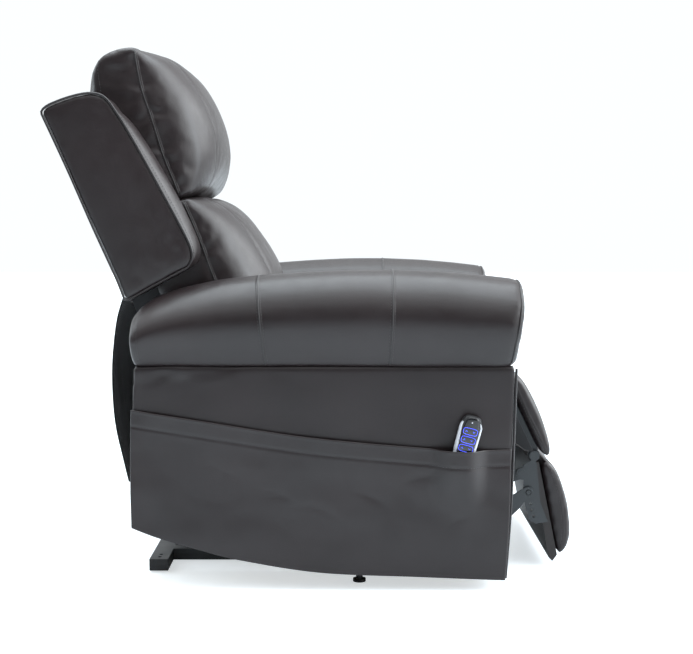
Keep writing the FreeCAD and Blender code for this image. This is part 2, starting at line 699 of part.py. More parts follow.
def slide_direction():
    angle = math.radians(SLIDER_ANGLE)
    return (math.cos(angle), math.sin(angle))


def footrest_rail():
    direction = slide_direction()
    channel = box_along(DRIVE_X - 11, DRIVE_X + 11, SLIDER_PIN, direction, -165, 70, -37, -15)
    groove = box_along(DRIVE_X - 5, DRIVE_X + 5, SLIDER_PIN, direction, -160, 65, -33, -14)
    hanger = box_along(DRIVE_X - 11, DRIVE_X + 11, SLIDER_PIN, direction, -158, -146, -20, 12)
    return fuse([channel.cut(groove), hanger])


def footrest_motor():
    direction = slide_direction()
    gearbox = box_along(DRIVE_X - 24, DRIVE_X + 24, SLIDER_PIN, direction, -205, -165, -52, -8)
    foot = step_from(SLIDER_PIN, direction, -185, -52)
    down = (direction[1], -direction[0])
    motor = cylinder_along(DRIVE_X, foot, down, 0, 96, 21)
    return fuse([gearbox, motor])


def footrest_slider():
    direction = slide_direction()
    saddle = box_along(DRIVE_X - 17, DRIVE_X + 17, SLIDER_PIN, direction, -17, 17, -42, -10)
    slot = box_along(DRIVE_X - 11.4, DRIVE_X + 11.4, SLIDER_PIN, direction, -18, 18, -37.4, -14.6)
    shapes = [saddle.cut(slot)]
    for x0 in (DRIVE_X - 13, DRIVE_X + 9):
        cheek = box_along(x0, x0 + 4, SLIDER_PIN, direction, -12, 12, -11, 0)
        shapes.append(fuse([cheek, rod_across(x0, x0 + 4, SLIDER_PIN, 12)]))
    shapes.append(rod_across(DRIVE_X - 14, DRIVE_X + 14, SLIDER_PIN, PIN_R))
    return fuse(shapes)


def push_link():
    layer = (DRIVE_X - 7, DRIVE_X + 7)
    return link(layer, [SLIDER_PIN, CRANK_PIN], 9, (PIN_R + RUN, PIN_R + 0.7))


# ---- footrest -------------------------------------------------------------------------
def torque_tube():
    """The tube is parted between its two crank ears, so that the push link can pass its axis."""
    side = SIDE_PLATE_LAYER[0]
    shapes = []
    for end, inner in ((-side + 4, DRIVE_X - 9), (side - 4, DRIVE_X + 9)):
        stub = LAYER_C[0] if end > 0 else -LAYER_C[0]
        shapes.append(rod_across(min(end, inner), max(end, inner), TORQUE_PIVOT, TUBE_R))
        shapes.append(rod_across(min(end, stub), max(end, stub), TORQUE_PIVOT, STUB_R))
    for x0 in (DRIVE_X - 13, DRIVE_X + 9):
        shapes.append(bar_between(x0, x0 + 4, TORQUE_PIVOT, CRANK_PIN, 9))
        shapes.append(rod_across(x0, x0 + 4, TORQUE_PIVOT, TUBE_R + 3))
    shapes.append(rod_across(DRIVE_X - 14, DRIVE_X + 14, CRANK_PIN, PIN_R))
    return fuse(shapes)


def rear_footrest_arms():
    x0, x1 = LAYER_C
    arm = link(LAYER_C, [TORQUE_PIVOT, CROSS_PIVOT, REAR_ARM_END], LINK_HALF, (STUB_R - 2, PIN_R - 1,
                                                                               PIN_R - 1))
    cross = rod_across(LAYER_B[0] - 0.6, x1, CROSS_PIVOT, PIN_R)
    end = rod_across(x0, LAYER_D[1] + 1.5, REAR_ARM_END, PIN_R)
    return pair(fuse([arm, cross, end]))


def front_footrest_arms():
    return pair(link(LAYER_A, [FRONT_ARM_PIVOT, FRONT_ARM_END], LINK_HALF, (PIN_R + RUN, PIN_R + 0.5)))


def upper_long_links():
    radii = (PIN_R - 1, PIN_R + RUN, PIN_R + RUN)
    bar = link(LAYER_B, [FRONT_ARM_END, CROSS_PIVOT, UPPER_LONG_END], LINK_HALF, radii)
    rivet = rod_across(LAYER_A[0] - 0.6, LAYER_B[1], FRONT_ARM_END, PIN_R)
    return pair(fuse([bar, rivet]))


def lower_long_links():
    """The link hangs below the straight line between its pivots."""
    x0, x1 = LAYER_D
    belly = polygon(x0, x1, [(280, 84), (380, 75), (430, 85), (454, 111), (474, 130), (492, 153), (488, 177),
                             (395, 122), (280, 108)])
    ends = [rod_across(x0, x1, REAR_ARM_END, LINK_HALF), rod_across(x0, x1, LOWER_LONG_END, LINK_HALF)]
    return pair(drilled(fuse([belly] + ends), x0, x1, [(REAR_ARM_END, PIN_R + RUN),
                                                       (LOWER_LONG_END, PIN_R + 1.3)]))


def ottoman_brackets():
    x0, x1 = LAYER_C
    plate = polygon(x0, x1, [(483, 225), (507, 240), (512, 229), (521, 143), (538, 100), (513, 96),
                             (498, 103),
                             (484, 150)])
    ends = [rod_across(x0, x1, UPPER_LONG_END, 13), rod_across(x0, x1, LOWER_LONG_END, 13),
            rod_across(x0, x1, OTTOMAN_HINGE, 11)]
    body = fuse([plate] + ends)
    bolt_holes = [((500, 140), 3), ((502, 126), 3), ((507, 112), 3)]
    pins = [(UPPER_LONG_END, PIN_R), (LOWER_LONG_END, PIN_R), (OTTOMAN_HINGE, PIN_R)]
    return pair(drilled(body, x0, x1, bolt_holes + pins))


def ottoman_rivets():
    upper = fuse([rod_across(LAYER_B[0] - 0.6, LAYER_C[1], UPPER_LONG_END, PIN_R),
                  rod_across(LAYER_C[1], LAYER_C[1] + 1.2, UPPER_LONG_END, 9)])
    lower = rod_across(LAYER_C[0], LAYER_D[1] + 1.5, LOWER_LONG_END, PIN_R)
    hinge = rod_across(LAYER_A[0] - 0.6, LAYER_C[1], OTTOMAN_HINGE, PIN_R)
    shapes = [upper, lower, hinge]
    return Part.makeCompound(shapes + [mirrored(shape) for shape in shapes])


def ottoman_board():
    return polygon(-LAYER_C[0], LAYER_C[0], [(503, 228), (517, 231), (559.5, 26), (549, 12), (542, 19)])


def ottoman_cushion():
    stretches = [
        [(519.5, 231), (561.5, 26)],
        [(561.5, 26), (578, 29), (587, 53), (589, 97), (580, 152), (564, 196), (545, 232)],
        [(545, 232), (519.5, 231)]]
    return slab(-PAD_HALF, PAD_HALF, stretches)


def calf_point(down, out):
    """A point on the calf board: down from its hinge, out in front of the hinge line."""
    direction, _ = along(CALF_HINGE, OTTOMAN_HINGE)
    return step_from(CALF_HINGE, direction, down, out)


def calf_hinge_plates():
    x0, x1 = LAYER_A
    strip = polygon(x0, x1, [calf_point(0, -10), calf_point(0, 14), calf_point(168, 14), calf_point(175, -9)])
    ends = [rod_across(x0, x1, CALF_HINGE, 11), rod_across(x0, x1, OTTOMAN_HINGE, 13)]
    return pair(drilled(fuse([strip] + ends), x0, x1, [(CALF_HINGE, PIN_R + RUN),
                                                       (OTTOMAN_HINGE, PIN_R + 2.2)]))


def calf_board():
    half = LAYER_A[0]
    return polygon(-half, half, [calf_point(20, 6), calf_point(20, 16), calf_point(158, 16),
                                 calf_point(158, 6)])


def calf_cushion():
    stretches = [
        [calf_point(163, 18), calf_point(2, 18)],
        [calf_point(2, 18), (447, 424), (458, 430), (469, 428)],
        [(469, 428), (493, 387), (515, 344), (533, 296), (540, 247)],
        [(540, 247), calf_point(163, 18)]]
    return slab(-PAD_HALF, PAD_HALF, stretches)


def control_box():
    lid = block(-60, 60, -215, -105, 168, 198)
    base = block(-64, 64, -219, -101, 146, 168)
    strap = block(-20, 20, -290, -210, 144, 150)
    return fuse([lid, base, strap])


# ---- handset --------------------------------------------------------------------------
def handset_point(up, across):
    lean = math.radians(HANDSET_LEAN)
    direction = (math.sin(lean), math.cos(lean))
    return step_from(HANDSET_FOOT, direction, up, -across)


def handset_slab(x0, x1, inset):
    top = HANDSET_TOP_HALF - inset
    foot = HANDSET_FOOT_HALF - inset
    low = inset
    high = HANDSET_LENGTH - inset
    stretches = [
        [handset_point(low + 8, -foot), handset_point(high - 14, -top)],
        [handset_point(high - 14, -top), handset_point(high - 3, -top * 0.6), handset_point(high, 0),
         handset_point(high - 3, top * 0.6), handset_point(high - 14, top)],
        [handset_point(high - 14, top), handset_point(low + 8, foot)],
        [handset_point(low + 8, foot), handset_point(low, 0), handset_point(low + 8, -foot)]]
    return slab(-x1, -x0, stretches)


def key_box(x0, x1, row, grow):
    up = KEY_TOP - row * KEY_PITCH
    half_w = KEY_WIDTH / 2 + grow
    half_l = KEY_LENGTH / 2 + grow
    corners = [handset_point(up - half_w, -half_l), handset_point(up + half_w, -half_l),
               handset_point(up + half_w, half_l), handset_point(up - half_w, half_l)]
    return polygon(-x1, -x0, corners)


def handset_shell():
    body = handset_slab(HANDSET_BACK, HANDSET_FRONT - 1, 0)
    recess = handset_slab(HANDSET_FRONT - 6, HANDSET_FRONT, 2.5)
    return body.cut(recess)


def handset_face():
    plate = handset_slab(HANDSET_FRONT - 6, HANDSET_FRONT, 2.7)
    for row in range(KEY_ROWS):
        plate = plate.cut(key_box(HANDSET_FRONT - 4, HANDSET_FRONT + 1, row, 0.6))
    return plate


def key_row(row):
    return key_box(HANDSET_FRONT - 2, HANDSET_FRONT + 1, row, 0)


# ---- write the pieces -----------------------------------------------------------------
PIECES = [
    base_crossbars, base_side_rails, base_motor_crossmember, base_end_caps, base_glides, base_pivot_brackets,
    base_pivot_pins, power_cable, front_lift_links, rear_lift_links, lift_frame_plates, chair_pivot_pins,
    chassis_cross_tubes, mechanism_side_plates, seat_frame, seat_springs, seat_cushion, side_panels,
    arm_inner_panels, arm_front_panels, arm_frames, arm_rolls, side_pockets, arm_glides, back_frame,
    back_brackets, back_springs, outside_back_panel, back_wings, head_cushion, lumbar_cushion,
    lower_back_cloth, upper_back_cloth, lift_actuator_housing, lift_actuator_rod, back_actuator_housing,
    back_actuator_rod, footrest_rail, footrest_motor, footrest_slider, push_link, torque_tube,
    rear_footrest_arms, front_footrest_arms, upper_long_links, lower_long_links, ottoman_brackets,
    ottoman_rivets, ottoman_board, ottoman_cushion, calf_hinge_plates, calf_board, calf_cushion,
    control_box, handset_shell, handset_face]

os.makedirs("parts", exist_ok=True)
for piece in PIECES:
    piece().exportStep("parts/" + piece.__name__ + ".step")
for row in range(KEY_ROWS):
    key_row(row).exportStep("parts/key_row_" + str(row + 1) + ".step")
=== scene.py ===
import json
import math

import bmesh
import bpy
import numpy as np
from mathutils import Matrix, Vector, noise
from mathutils.bvhtree import BVHTree
from mathutils.kdtree import KDTree


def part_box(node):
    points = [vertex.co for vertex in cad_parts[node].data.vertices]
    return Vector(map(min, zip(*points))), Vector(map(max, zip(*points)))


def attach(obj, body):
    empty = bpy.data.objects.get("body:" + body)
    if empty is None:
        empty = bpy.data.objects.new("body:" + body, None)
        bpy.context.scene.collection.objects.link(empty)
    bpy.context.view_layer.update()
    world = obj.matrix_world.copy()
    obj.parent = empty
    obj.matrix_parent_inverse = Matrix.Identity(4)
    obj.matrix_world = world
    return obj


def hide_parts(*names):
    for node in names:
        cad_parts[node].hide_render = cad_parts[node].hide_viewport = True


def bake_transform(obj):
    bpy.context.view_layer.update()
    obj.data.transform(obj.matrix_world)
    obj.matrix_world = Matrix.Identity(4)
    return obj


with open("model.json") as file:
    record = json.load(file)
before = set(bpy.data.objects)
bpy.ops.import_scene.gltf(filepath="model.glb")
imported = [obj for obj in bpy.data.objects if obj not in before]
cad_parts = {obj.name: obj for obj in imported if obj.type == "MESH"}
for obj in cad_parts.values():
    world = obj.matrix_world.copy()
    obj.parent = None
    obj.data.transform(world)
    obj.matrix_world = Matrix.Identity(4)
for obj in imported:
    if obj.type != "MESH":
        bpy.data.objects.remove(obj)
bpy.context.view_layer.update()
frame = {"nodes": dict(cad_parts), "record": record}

# Side-plane points are (forward, up) in millimetres; the chair faces -Y. at() turns them into metres.
MM = 0.001
ORIGIN_FORWARD = 34.5        # the frame's origin, forward of the middle of the lift base
BACK_TILT = math.radians(21.4)
BACK_FOOT = (-356.0, 585.0)
CUSHION_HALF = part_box("head_cushion")[1].x / MM - 1.0
WING_IN = 270.0
WING_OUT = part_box("back_wings")[1].x / MM
ARM_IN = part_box("arm_inner_panels")[0].x * -1 / MM
PANEL_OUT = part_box("side_panels")[1].x / MM
SEAM_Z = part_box("side_panels")[1].z / MM
VOXEL = 6.0


# ---- Curves and meshes ----
def at(x, f, z):
    return Vector((x * MM, (ORIGIN_FORWARD - f) * MM, z * MM))


def forward_of(points):
    return ORIGIN_FORWARD - points[:, 1] / MM


def on_back(height, depth):
    """A side-plane point on the back: up its slope and forward of its rear plane."""
    return (BACK_FOOT[0] - height * math.sin(BACK_TILT) + depth * math.cos(BACK_TILT),
            BACK_FOOT[1] + height * math.cos(BACK_TILT) + depth * math.sin(BACK_TILT))


def smooth_curve(points, count):
    """Even samples of a Catmull-Rom curve through the points; two points give a straight line."""
    p = np.array(points, float)
    if len(p) == 2:
        t = np.linspace(0, 1, count)[:, None]
        return p[0] * (1 - t) + p[1] * t
    q = np.vstack([2 * p[0] - p[1], p, 2 * p[-1] - p[-2]])
    dense = []
    for i in range(1, len(q) - 2):
        a, b, c, d = q[i - 1], q[i], q[i + 1], q[i + 2]
        for t in np.linspace(0, 1, 24, endpoint=False):
            dense.append(0.5 * (2 * b + (c - a) * t + (2 * a - 5 * b + 4 * c - d) * t * t
                                + (3 * b - a - 3 * c + d) * t ** 3))
    dense.append(p[-1])
    return resample(np.array(dense), count)


def resample(points, count):
    steps = np.linalg.norm(np.diff(points, axis=0), axis=1)
    length = np.concatenate([[0], np.cumsum(steps)])
    wanted = np.linspace(0, length[-1], count)
    return np.stack([np.interp(wanted, length, points[:, k]) for k in range(points.shape[1])], 1)


def closed_outline(stretches, counts):
    """A closed loop of side-plane points from stretches that share their end points."""
    parts = [smooth_curve(points, n + 1)[:-1] for points, n in zip(stretches, counts)]
    return np.vstack(parts)


def inset_outline(loop, distance):
    """Moves a closed loop inwards along its normals. The loop may run either way round."""
    before = np.roll(loop, 1, axis=0)
    after = np.roll(loop, -1, axis=0)
    tangent = after - before
    tangent /= np.linalg.norm(tangent, axis=1)[:, None] + 1e-9
    normal = np.stack([-tangent[:, 1], tangent[:, 0]], 1)
    area = np.sum(loop[:, 0] * after[:, 1] - after[:, 0] * loop[:, 1])
    return loop + normal * distance * (1 if area > 0 else -1)


def make_object(name, verts, faces):
    mesh = bpy.data.meshes.new(name)
    mesh.from_pydata([tuple(v) for v in verts], [], faces)
    mesh.update()
    thing = bpy.data.objects.new(name, mesh)
    bpy.context.scene.collection.objects.link(thing)
    bm = bmesh.new()
    bm.from_mesh(mesh)
    bmesh.ops.recalc_face_normals(bm, faces=bm.faces)
    bm.to_mesh(mesh)
    bm.free()
    return thing


def loft(name, rings):
    """A closed skin over rings of equal length; each ring is a list of 3-D points."""
    n = len(rings[0])
    verts = [p for ring in rings for p in ring]
    faces = []
    for r in range(len(rings) - 1):
        for i in range(n):
            j = (i + 1) % n
            faces.append((r * n + i, r * n + j, (r + 1) * n + j, (r + 1) * n + i))
    faces.append(tuple(range(n - 1, -1, -1)))
    faces.append(tuple(range((len(rings) - 1) * n, len(rings) * n)))
    return make_object(name, verts, faces)


def double_sheet(name, verts, n, m):
    """A closed thin sheet from two layers of n by m points, the second layer after the first."""
    layer = n * m
    faces = []
    for a in range(n - 1):
        for b in range(m - 1):
            i = a * m + b
            faces.append((i, i + 1, i + m + 1, i + m))
            faces.append((layer + i, layer + i + m, layer + i + m + 1, layer + i + 1))
    rim = [a * m for a in range(n)] + [(n - 1) * m + b for b in range(1, m)]
    rim += [a * m + m - 1 for a in range(n - 2, -1, -1)] + [b for b in range(m - 2, 0, -1)]
    for i, j in zip(rim, rim[1:] + rim[:1]):
        faces.append((i, j, layer + j, layer + i))
    return make_object(name, verts, faces)


def rounded_slab(name, loop, x0, x1, radius, steps=4):
    """A plate with the given side-plane outline whose two faces have rounded edges."""
    low = [(x0 + radius * (1 - math.cos(math.pi / 2 * k / steps)),
            radius * (1 - math.sin(math.pi / 2 * k / steps))) for k in range(steps + 1)]
    high = [(x1 - (x - x0), inset) for x, inset in reversed(low)]
    rings = []
    for x, inset in low + high:
        ring = inset_outline(loop, inset)
        rings.append([at(x, f, z) for f, z in ring])
    return loft(name, rings)


def bake_modifiers(thing):
    graph = bpy.context.evaluated_depsgraph_get()
    mesh = bpy.data.meshes.new_from_object(thing.evaluated_get(graph))
    thing.modifiers.clear()
    old = thing.data
    thing.data = mesh
    bpy.data.meshes.remove(old)
    return thing


def subdivide(thing):
    modifier = thing.modifiers.new("subdivision", "SUBSURF")
    modifier.levels = 1
    modifier.render_levels = 1
    return bake_modifiers(thing)


def shade_smooth(thing):
    thing.data.polygons.foreach_set("use_smooth", [True] * len(thing.data.polygons))
    thing.data.update()
    return thing


def soften(thing):
    return shade_smooth(subdivide(thing))


def get_points(thing):
    co = np.zeros(len(thing.data.vertices) * 3)
    thing.data.vertices.foreach_get("co", co)
    return co.reshape(-1, 3)


def set_points(thing, points):
    thing.data.vertices.foreach_set("co", points.astype(np.float32).ravel())
    thing.data.update()


def get_normals(thing):
    n = np.zeros(len(thing.data.vertices) * 3)
    thing.data.vertices.foreach_get("normal", n)
    return n.reshape(-1, 3)


def relax(thing, rounds):
    """Laplacian smoothing."""
    edges = np.zeros(len(thing.data.edges) * 2, int)
    thing.data.edges.foreach_get("vertices", edges)
    edges = edges.reshape(-1, 2)
    points = get_points(thing)
    degree = np.bincount(edges.ravel(), minlength=len(points))[:, None]
    for _ in range(rounds):
        total = np.zeros_like(points)
        np.add.at(total, edges[:, 0], points[edges[:, 1]])
        np.add.at(total, edges[:, 1], points[edges[:, 0]])
        target = total / np.maximum(degree, 1)
        points += (target - points) * 0.5
    set_points(thing, points)


def remesh(thing, rounds):
    """Turns a closed skin into even small faces and rounds off its edges."""
    modifier = thing.modifiers.new("remesh", "REMESH")
    modifier.mode = "VOXEL"
    modifier.voxel_size = VOXEL * MM
    bake_modifiers(thing)
    relax(thing, rounds)


def clip_across(thing, low, high):
    """Keeps every point between two millimetre places across the chair."""
    points = get_points(thing)
    points[:, 0] = np.clip(points[:, 0], low * MM, high * MM)
    set_points(thing, points)


def densify(path, step=3.0):
    """path is a list of Vectors in metres; returns points about step millimetres apart."""
    p = np.array([tuple(v) for v in path])
    length = np.linalg.norm(np.diff(p, axis=0), axis=1).sum()
    return resample(p, max(2, int(length / (step * MM)) + 1))


def distance_to_paths(points, paths, reach):
    """Distance in metres from each point to the nearest path, the arc length there and a path number."""
    tree_points = []
    for number, path in enumerate(paths):
        dense = densify(path, 2.0)
        run = np.concatenate([[0], np.cumsum(np.linalg.norm(np.diff(dense, axis=0), axis=1))])
        tree_points += [(p, s, number) for p, s in zip(dense, run)]
    tree = KDTree(len(tree_points))
    for i, (p, _, _) in enumerate(tree_points):
        tree.insert(p, i)
    tree.balance()
    found = np.full(len(points), 9.0)
    arc = np.zeros(len(points))
    low = np.array([t[0] for t in tree_points]).min(0) - reach
    high = np.array([t[0] for t in tree_points]).max(0) + reach
    near = np.all((points > low) & (points < high), axis=1)
    for i in np.nonzero(near)[0]:
        _, index, d = tree.find(points[i])
        found[i] = d
        arc[i] = tree_points[index][1] + 7.0 * tree_points[index][2]
    return found, arc


def noise_at(points, scale, seed, detail=2):
    """Smooth noise in about -1..1; scale is the feature size in millimetres."""
    f = 1.0 / (scale * MM)
    offset = Vector((seed * 7.31, seed * 3.17, seed * 5.71))
    return np.array([noise.fractal(Vector(p) * f + offset, 1.0, 2.0, detail) for p in points])


# ---- Upholstery: inflate, seams, puckers, stitches, piping ----
def inflate(thing, pressure, cap, held=None, growth=0.0, frames=20):
    """Cloth simulation under air pressure; each vertex moves at most cap millimetres (number or array)."""
    rest = get_points(thing)
    group = thing.vertex_groups.new(name="held")
    if held is not None:
        for i in np.nonzero(held > 0.02)[0]:
            group.add([int(i)], float(held[i]), "REPLACE")
    cloth = thing.modifiers.new("cloth", "CLOTH")
    settings = cloth.settings
    settings.quality = 2
    settings.mass = 0.3
    settings.tension_stiffness = 25
    settings.compression_stiffness = 25
    settings.shear_stiffness = 12
    settings.bending_stiffness = 1.2
    settings.tension_damping = 10
    settings.air_damping = 3
    settings.use_pressure = True
    settings.uniform_pressure_force = pressure
    settings.shrink_min = -growth
    settings.effector_weights.gravity = 0
    cloth.collision_settings.use_collision = False
    if held is not None:
        settings.vertex_group_mass = "held"
        settings.pin_stiffness = 1.0
    scene = bpy.context.scene
    for step in range(1, frames + 1):
        scene.frame_set(step)
    graph = bpy.context.evaluated_depsgraph_get()
    mesh = thing.evaluated_get(graph).to_mesh()
    moved = np.zeros(len(mesh.vertices) * 3)
    mesh.vertices.foreach_get("co", moved)
    thing.evaluated_get(graph).to_mesh_clear()
    moved = moved.reshape(-1, 3)
    thing.modifiers.clear()
    thing.vertex_groups.clear()
    scene.frame_set(1)
    step = moved - rest
    length = np.linalg.norm(step, axis=1)
    limit = np.broadcast_to(np.asarray(cap, float) * MM, length.shape)
    soft = limit * np.tanh(length / np.maximum(limit, 1e-9)) / np.maximum(length, 1e-12)
    set_points(thing, rest + step * soft[:, None])
    relax(thing, 2)
    return thing


def groove(thing, paths, depth, width):
    """Presses seams into the surface: depth and width in millimetres."""
    points = get_points(thing)
    normals = get_normals(thing)
    d, _ = distance_to_paths(points, paths, width * 3 * MM)
    push = depth * MM * np.exp(-(d / (width * MM)) ** 2)
    set_points(thing, points - normals * push[:, None])


def pucker(thing, paths, height, reach, pitch, seed):
    """Gathers that run away from a seam and fade out; sizes in millimetres."""
    points = get_points(thing)
    normals = get_normals(thing)
    d, arc = distance_to_paths(points, paths, reach * 2 * MM)
    near = np.nonzero(d < reach * 2 * MM)[0]
    lift = np.zeros(len(points))
    for i in near:
        s = arc[i] / (pitch * MM)
        ripple = noise.fractal(Vector((s, seed * 4.1, d[i] / (reach * MM) * 0.7)), 0.9, 2.0, 2)
        fade = math.exp(-(d[i] / (reach * MM)) ** 2) * (1 - math.exp(-(d[i] / (2.5 * MM)) ** 2))
        lift[i] = ripple * fade
    set_points(thing, points + normals * (lift * height * MM)[:, None])


def crease(thing, amount, scale, seed, stretch=(1, 1, 1), mask=None):
    """Broad soft unevenness, in millimetres."""
    points = get_points(thing)
    normals = get_normals(thing)
    lift = noise_at(points * np.array(stretch), scale, seed)
    if mask is not None:
        lift = lift * mask(points)
    set_points(thing, points + normals * (lift * amount * MM)[:, None])


def surface_tree(thing):
    bm = bmesh.new()
    bm.from_mesh(thing.data)
    tree = BVHTree.FromBMesh(bm)
    bm.free()
    return tree


def drape(tree, path, step=2.5):
    """Puts a path onto the nearest surface; returns points and normals."""
    spots, normals = [], []
    for p in densify(path, step):
        location, normal, _, _ = tree.find_nearest(Vector(p))
        if location is not None:
            spots.append(location)
            normals.append(normal)
    return spots, normals


def smooth_list(points, rounds):
    p = np.array([tuple(v) for v in points])
    for _ in range(rounds):
        p[1:-1] = (p[:-2] + 2 * p[1:-1] + p[2:]) / 4
    return [Vector(v) for v in p]


def tube(name, points, radius, sides=8, closed=False):
    """A round cord along points, radius in millimetres."""
    rings = []
    n = len(points)
    previous = None
    for i, p in enumerate(points):
        a = points[(i - 1) % n] if closed or i > 0 else points[0]
        b = points[(i + 1) % n] if closed or i < n - 1 else points[-1]
        tangent = (b - a).normalized()
        if previous is None:
            previous = tangent.orthogonal().normalized()
        side = (previous - tangent * previous.dot(tangent)).normalized()
        previous = side
        other = tangent.cross(side)
        ring = []
        for k in range(sides):
            turn = 2 * math.pi * k / sides
            ring.append(p + (side * math.cos(turn) + other * math.sin(turn)) * radius * MM)
        rings.append(ring)
    if closed:
        rings.append(rings[0])
        verts = [v for ring in rings[:-1] for v in ring]
        faces = []
        for r in range(n):
            for i in range(sides):
                j = (i + 1) % sides
                low = r * sides
                high = ((r + 1) % n) * sides
                faces.append((low + i, low + j, high + j, high + i))
        return shade_smooth(make_object(name, verts, faces))
    return shade_smooth(loft(name, rings))


def stitch_row(spots, normals, offset, length=4.2, gap=2.0, lift=0.15):
    """Thread stitches along a draped path, shifted sideways by offset; returns verts and faces."""
    verts, faces = [], []
    p = np.array([tuple(v) for v in spots])
    n = np.array([tuple(v) for v in normals])
    run = np.concatenate([[0], np.cumsum(np.linalg.norm(np.diff(p, axis=0), axis=1))])
    s = gap
    while (s + length) * MM < run[-1]:
        ends = []
        for t in (0.0, 0.5, 1.0):
            w = (s + length * t) * MM
            spot = Vector([np.interp(w, run, p[:, k]) for k in range(3)])
            normal = Vector([np.interp(w, run, n[:, k]) for k in range(3)]).normalized()
            ends.append((spot, normal))
        along = (ends[2][0] - ends[0][0]).normalized()
        base = len(verts)
        for t, (spot, normal) in zip((0.0, 0.5, 1.0), ends):
            side = along.cross(normal).normalized()
            centre = spot + side * offset * MM + normal * ((lift + (0.25 if t == 0.5 else -0.35)) * MM)
            r = 0.45 if t == 0.5 else 0.28
            for k in range(6):
                turn = math.pi * 2 * k / 6
                verts.append(centre + (side * math.cos(turn) + normal * math.sin(turn)) * r * MM)
        for ring in (0, 1):
            for k in range(6):
                j = (k + 1) % 6
                low = base + ring * 6
                faces.append((low + k, low + j, low + 6 + j, low + 6 + k))
        faces.append(tuple(base + k for k in range(5, -1, -1)))
        faces.append(tuple(base + 12 + k for k in range(6)))
        s += length + gap
    return verts, faces


def stitches(name, thing, paths, offsets, body, material):
    """Rows of stitches beside seams on a finished piece, ridden on the same body."""
    tree = surface_tree(thing)
    verts, faces = [], []
    for path in paths:
        spots, normals = drape(tree, path)
        if len(spots) < 3:
            continue
        spots = smooth_list(spots, 3)
        normals = smooth_list(normals, 6)
        for offset in offsets:
            v, f = stitch_row(spots, normals, offset)
            base = len(verts)
            verts += v
            faces += [tuple(i + base for i in face) for face in f]
    thread = shade_smooth(make_object(name, verts, faces))
    finish_piece(thread, body, material)
    return thread


DOUBLE_WELT = ((-5.4, -0.8), (-4.6, 0.25), (-3.4, 0.45), (-1.2, 0.9), (0, 1.0),
               (1.2, 0.9), (3.4, 0.45), (4.6, 0.25), (5.4, -0.8), (0, -2.4))
SINGLE_WELT = ((-2.6, -0.7), (-1.7, 0.35), (-0.6, 0.4), (0, -0.5),
               (0.6, 0.4), (1.7, 0.35), (2.6, -0.7), (0, -2.0))
SEAM_SHADE_RADIUS = 1.1              # radius of the dark cord along the middle of a double seam, a painted shade standing in for the shade in the seam's valley
SEAM_TRIM = 2                # points left off each end of a raised seam


def welt(name, thing, paths, profile, body):
    """Raised seams: strips of the given cross-section laid along paths on a piece. A double seam also gets a
    dark thread-coloured cord along its middle, a painted shade for the seam's valley.
    """
    tree = surface_tree(thing)
    verts, faces = [], []
    m = len(profile)
    ridge = max(b for _, b in profile)
    for number, path in enumerate(paths):
        spots, normals = drape(tree, path, 3.0)
        spots = smooth_list(spots, 3)[SEAM_TRIM:-SEAM_TRIM]
        normals = smooth_list(normals, 8)[SEAM_TRIM:-SEAM_TRIM]
        if len(spots) < 4:
            continue
        first = len(verts)
        for i, (spot, normal) in enumerate(zip(spots, normals)):
            along = (spots[min(i + 1, len(spots) - 1)] - spots[max(i - 1, 0)]).normalized()
            normal = (normal - along * normal.dot(along)).normalized()
            side = along.cross(normal)
            verts += [spot + (side * a + normal * b) * MM for a, b in profile]
        count = len(spots)
        # painted shade: a dark thread-coloured cord along the ridge stands in for the shade in the seam's
        # valley
        if profile is DOUBLE_WELT:
            middle = [p + n * (ridge - 0.1) * MM for p, n in zip(spots, normals)]
            line = tube(f"{name}_line_{number + 1}", middle, SEAM_SHADE_RADIUS, 6)
            finish_piece(line, body, THREAD)
        for i in range(count - 1):
            for k in range(m):
                j = (k + 1) % m
                low = first + i * m
                faces.append((low + k, low + j, low + m + j, low + m + k))
        faces.append(tuple(first + k for k in range(m - 1, -1, -1)))
        faces.append(tuple(first + (count - 1) * m + k for k in range(m)))
    strip = shade_smooth(make_object(name, verts, faces))
    finish_piece(strip, body, LEATHER)
    return strip


def finish_piece(thing, body, material, stands_for=()):
    thing.data.materials.clear()
    thing.data.materials.append(material)
    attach(thing, body)
    if stands_for:
        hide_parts(*stands_for)
    return thing


def mirrored_copy(thing, name):
    copy = thing.copy()
    copy.data = thing.data.copy()
    copy.name = name
    points = get_points(copy)
    points[:, 0] *= -1
    set_points(copy, points)
    copy.data.flip_normals()
    bpy.context.scene.collection.objects.link(copy)
    return copy


def across_chair(path, sign):
    """The same path (sign 1) or its mirror image on the chair's other side (sign -1)."""
    return [Vector((sign * p.x, p.y, p.z)) for p in path]


def leather_pair(right, left_name, body, stands_for):
    """Finishes a right-hand piece in leather together with its mirror image, which it returns."""
    left = mirrored_copy(right, left_name)
    for piece in (right, left):
        finish_piece(piece, body, LEATHER, stands_for)
    return left


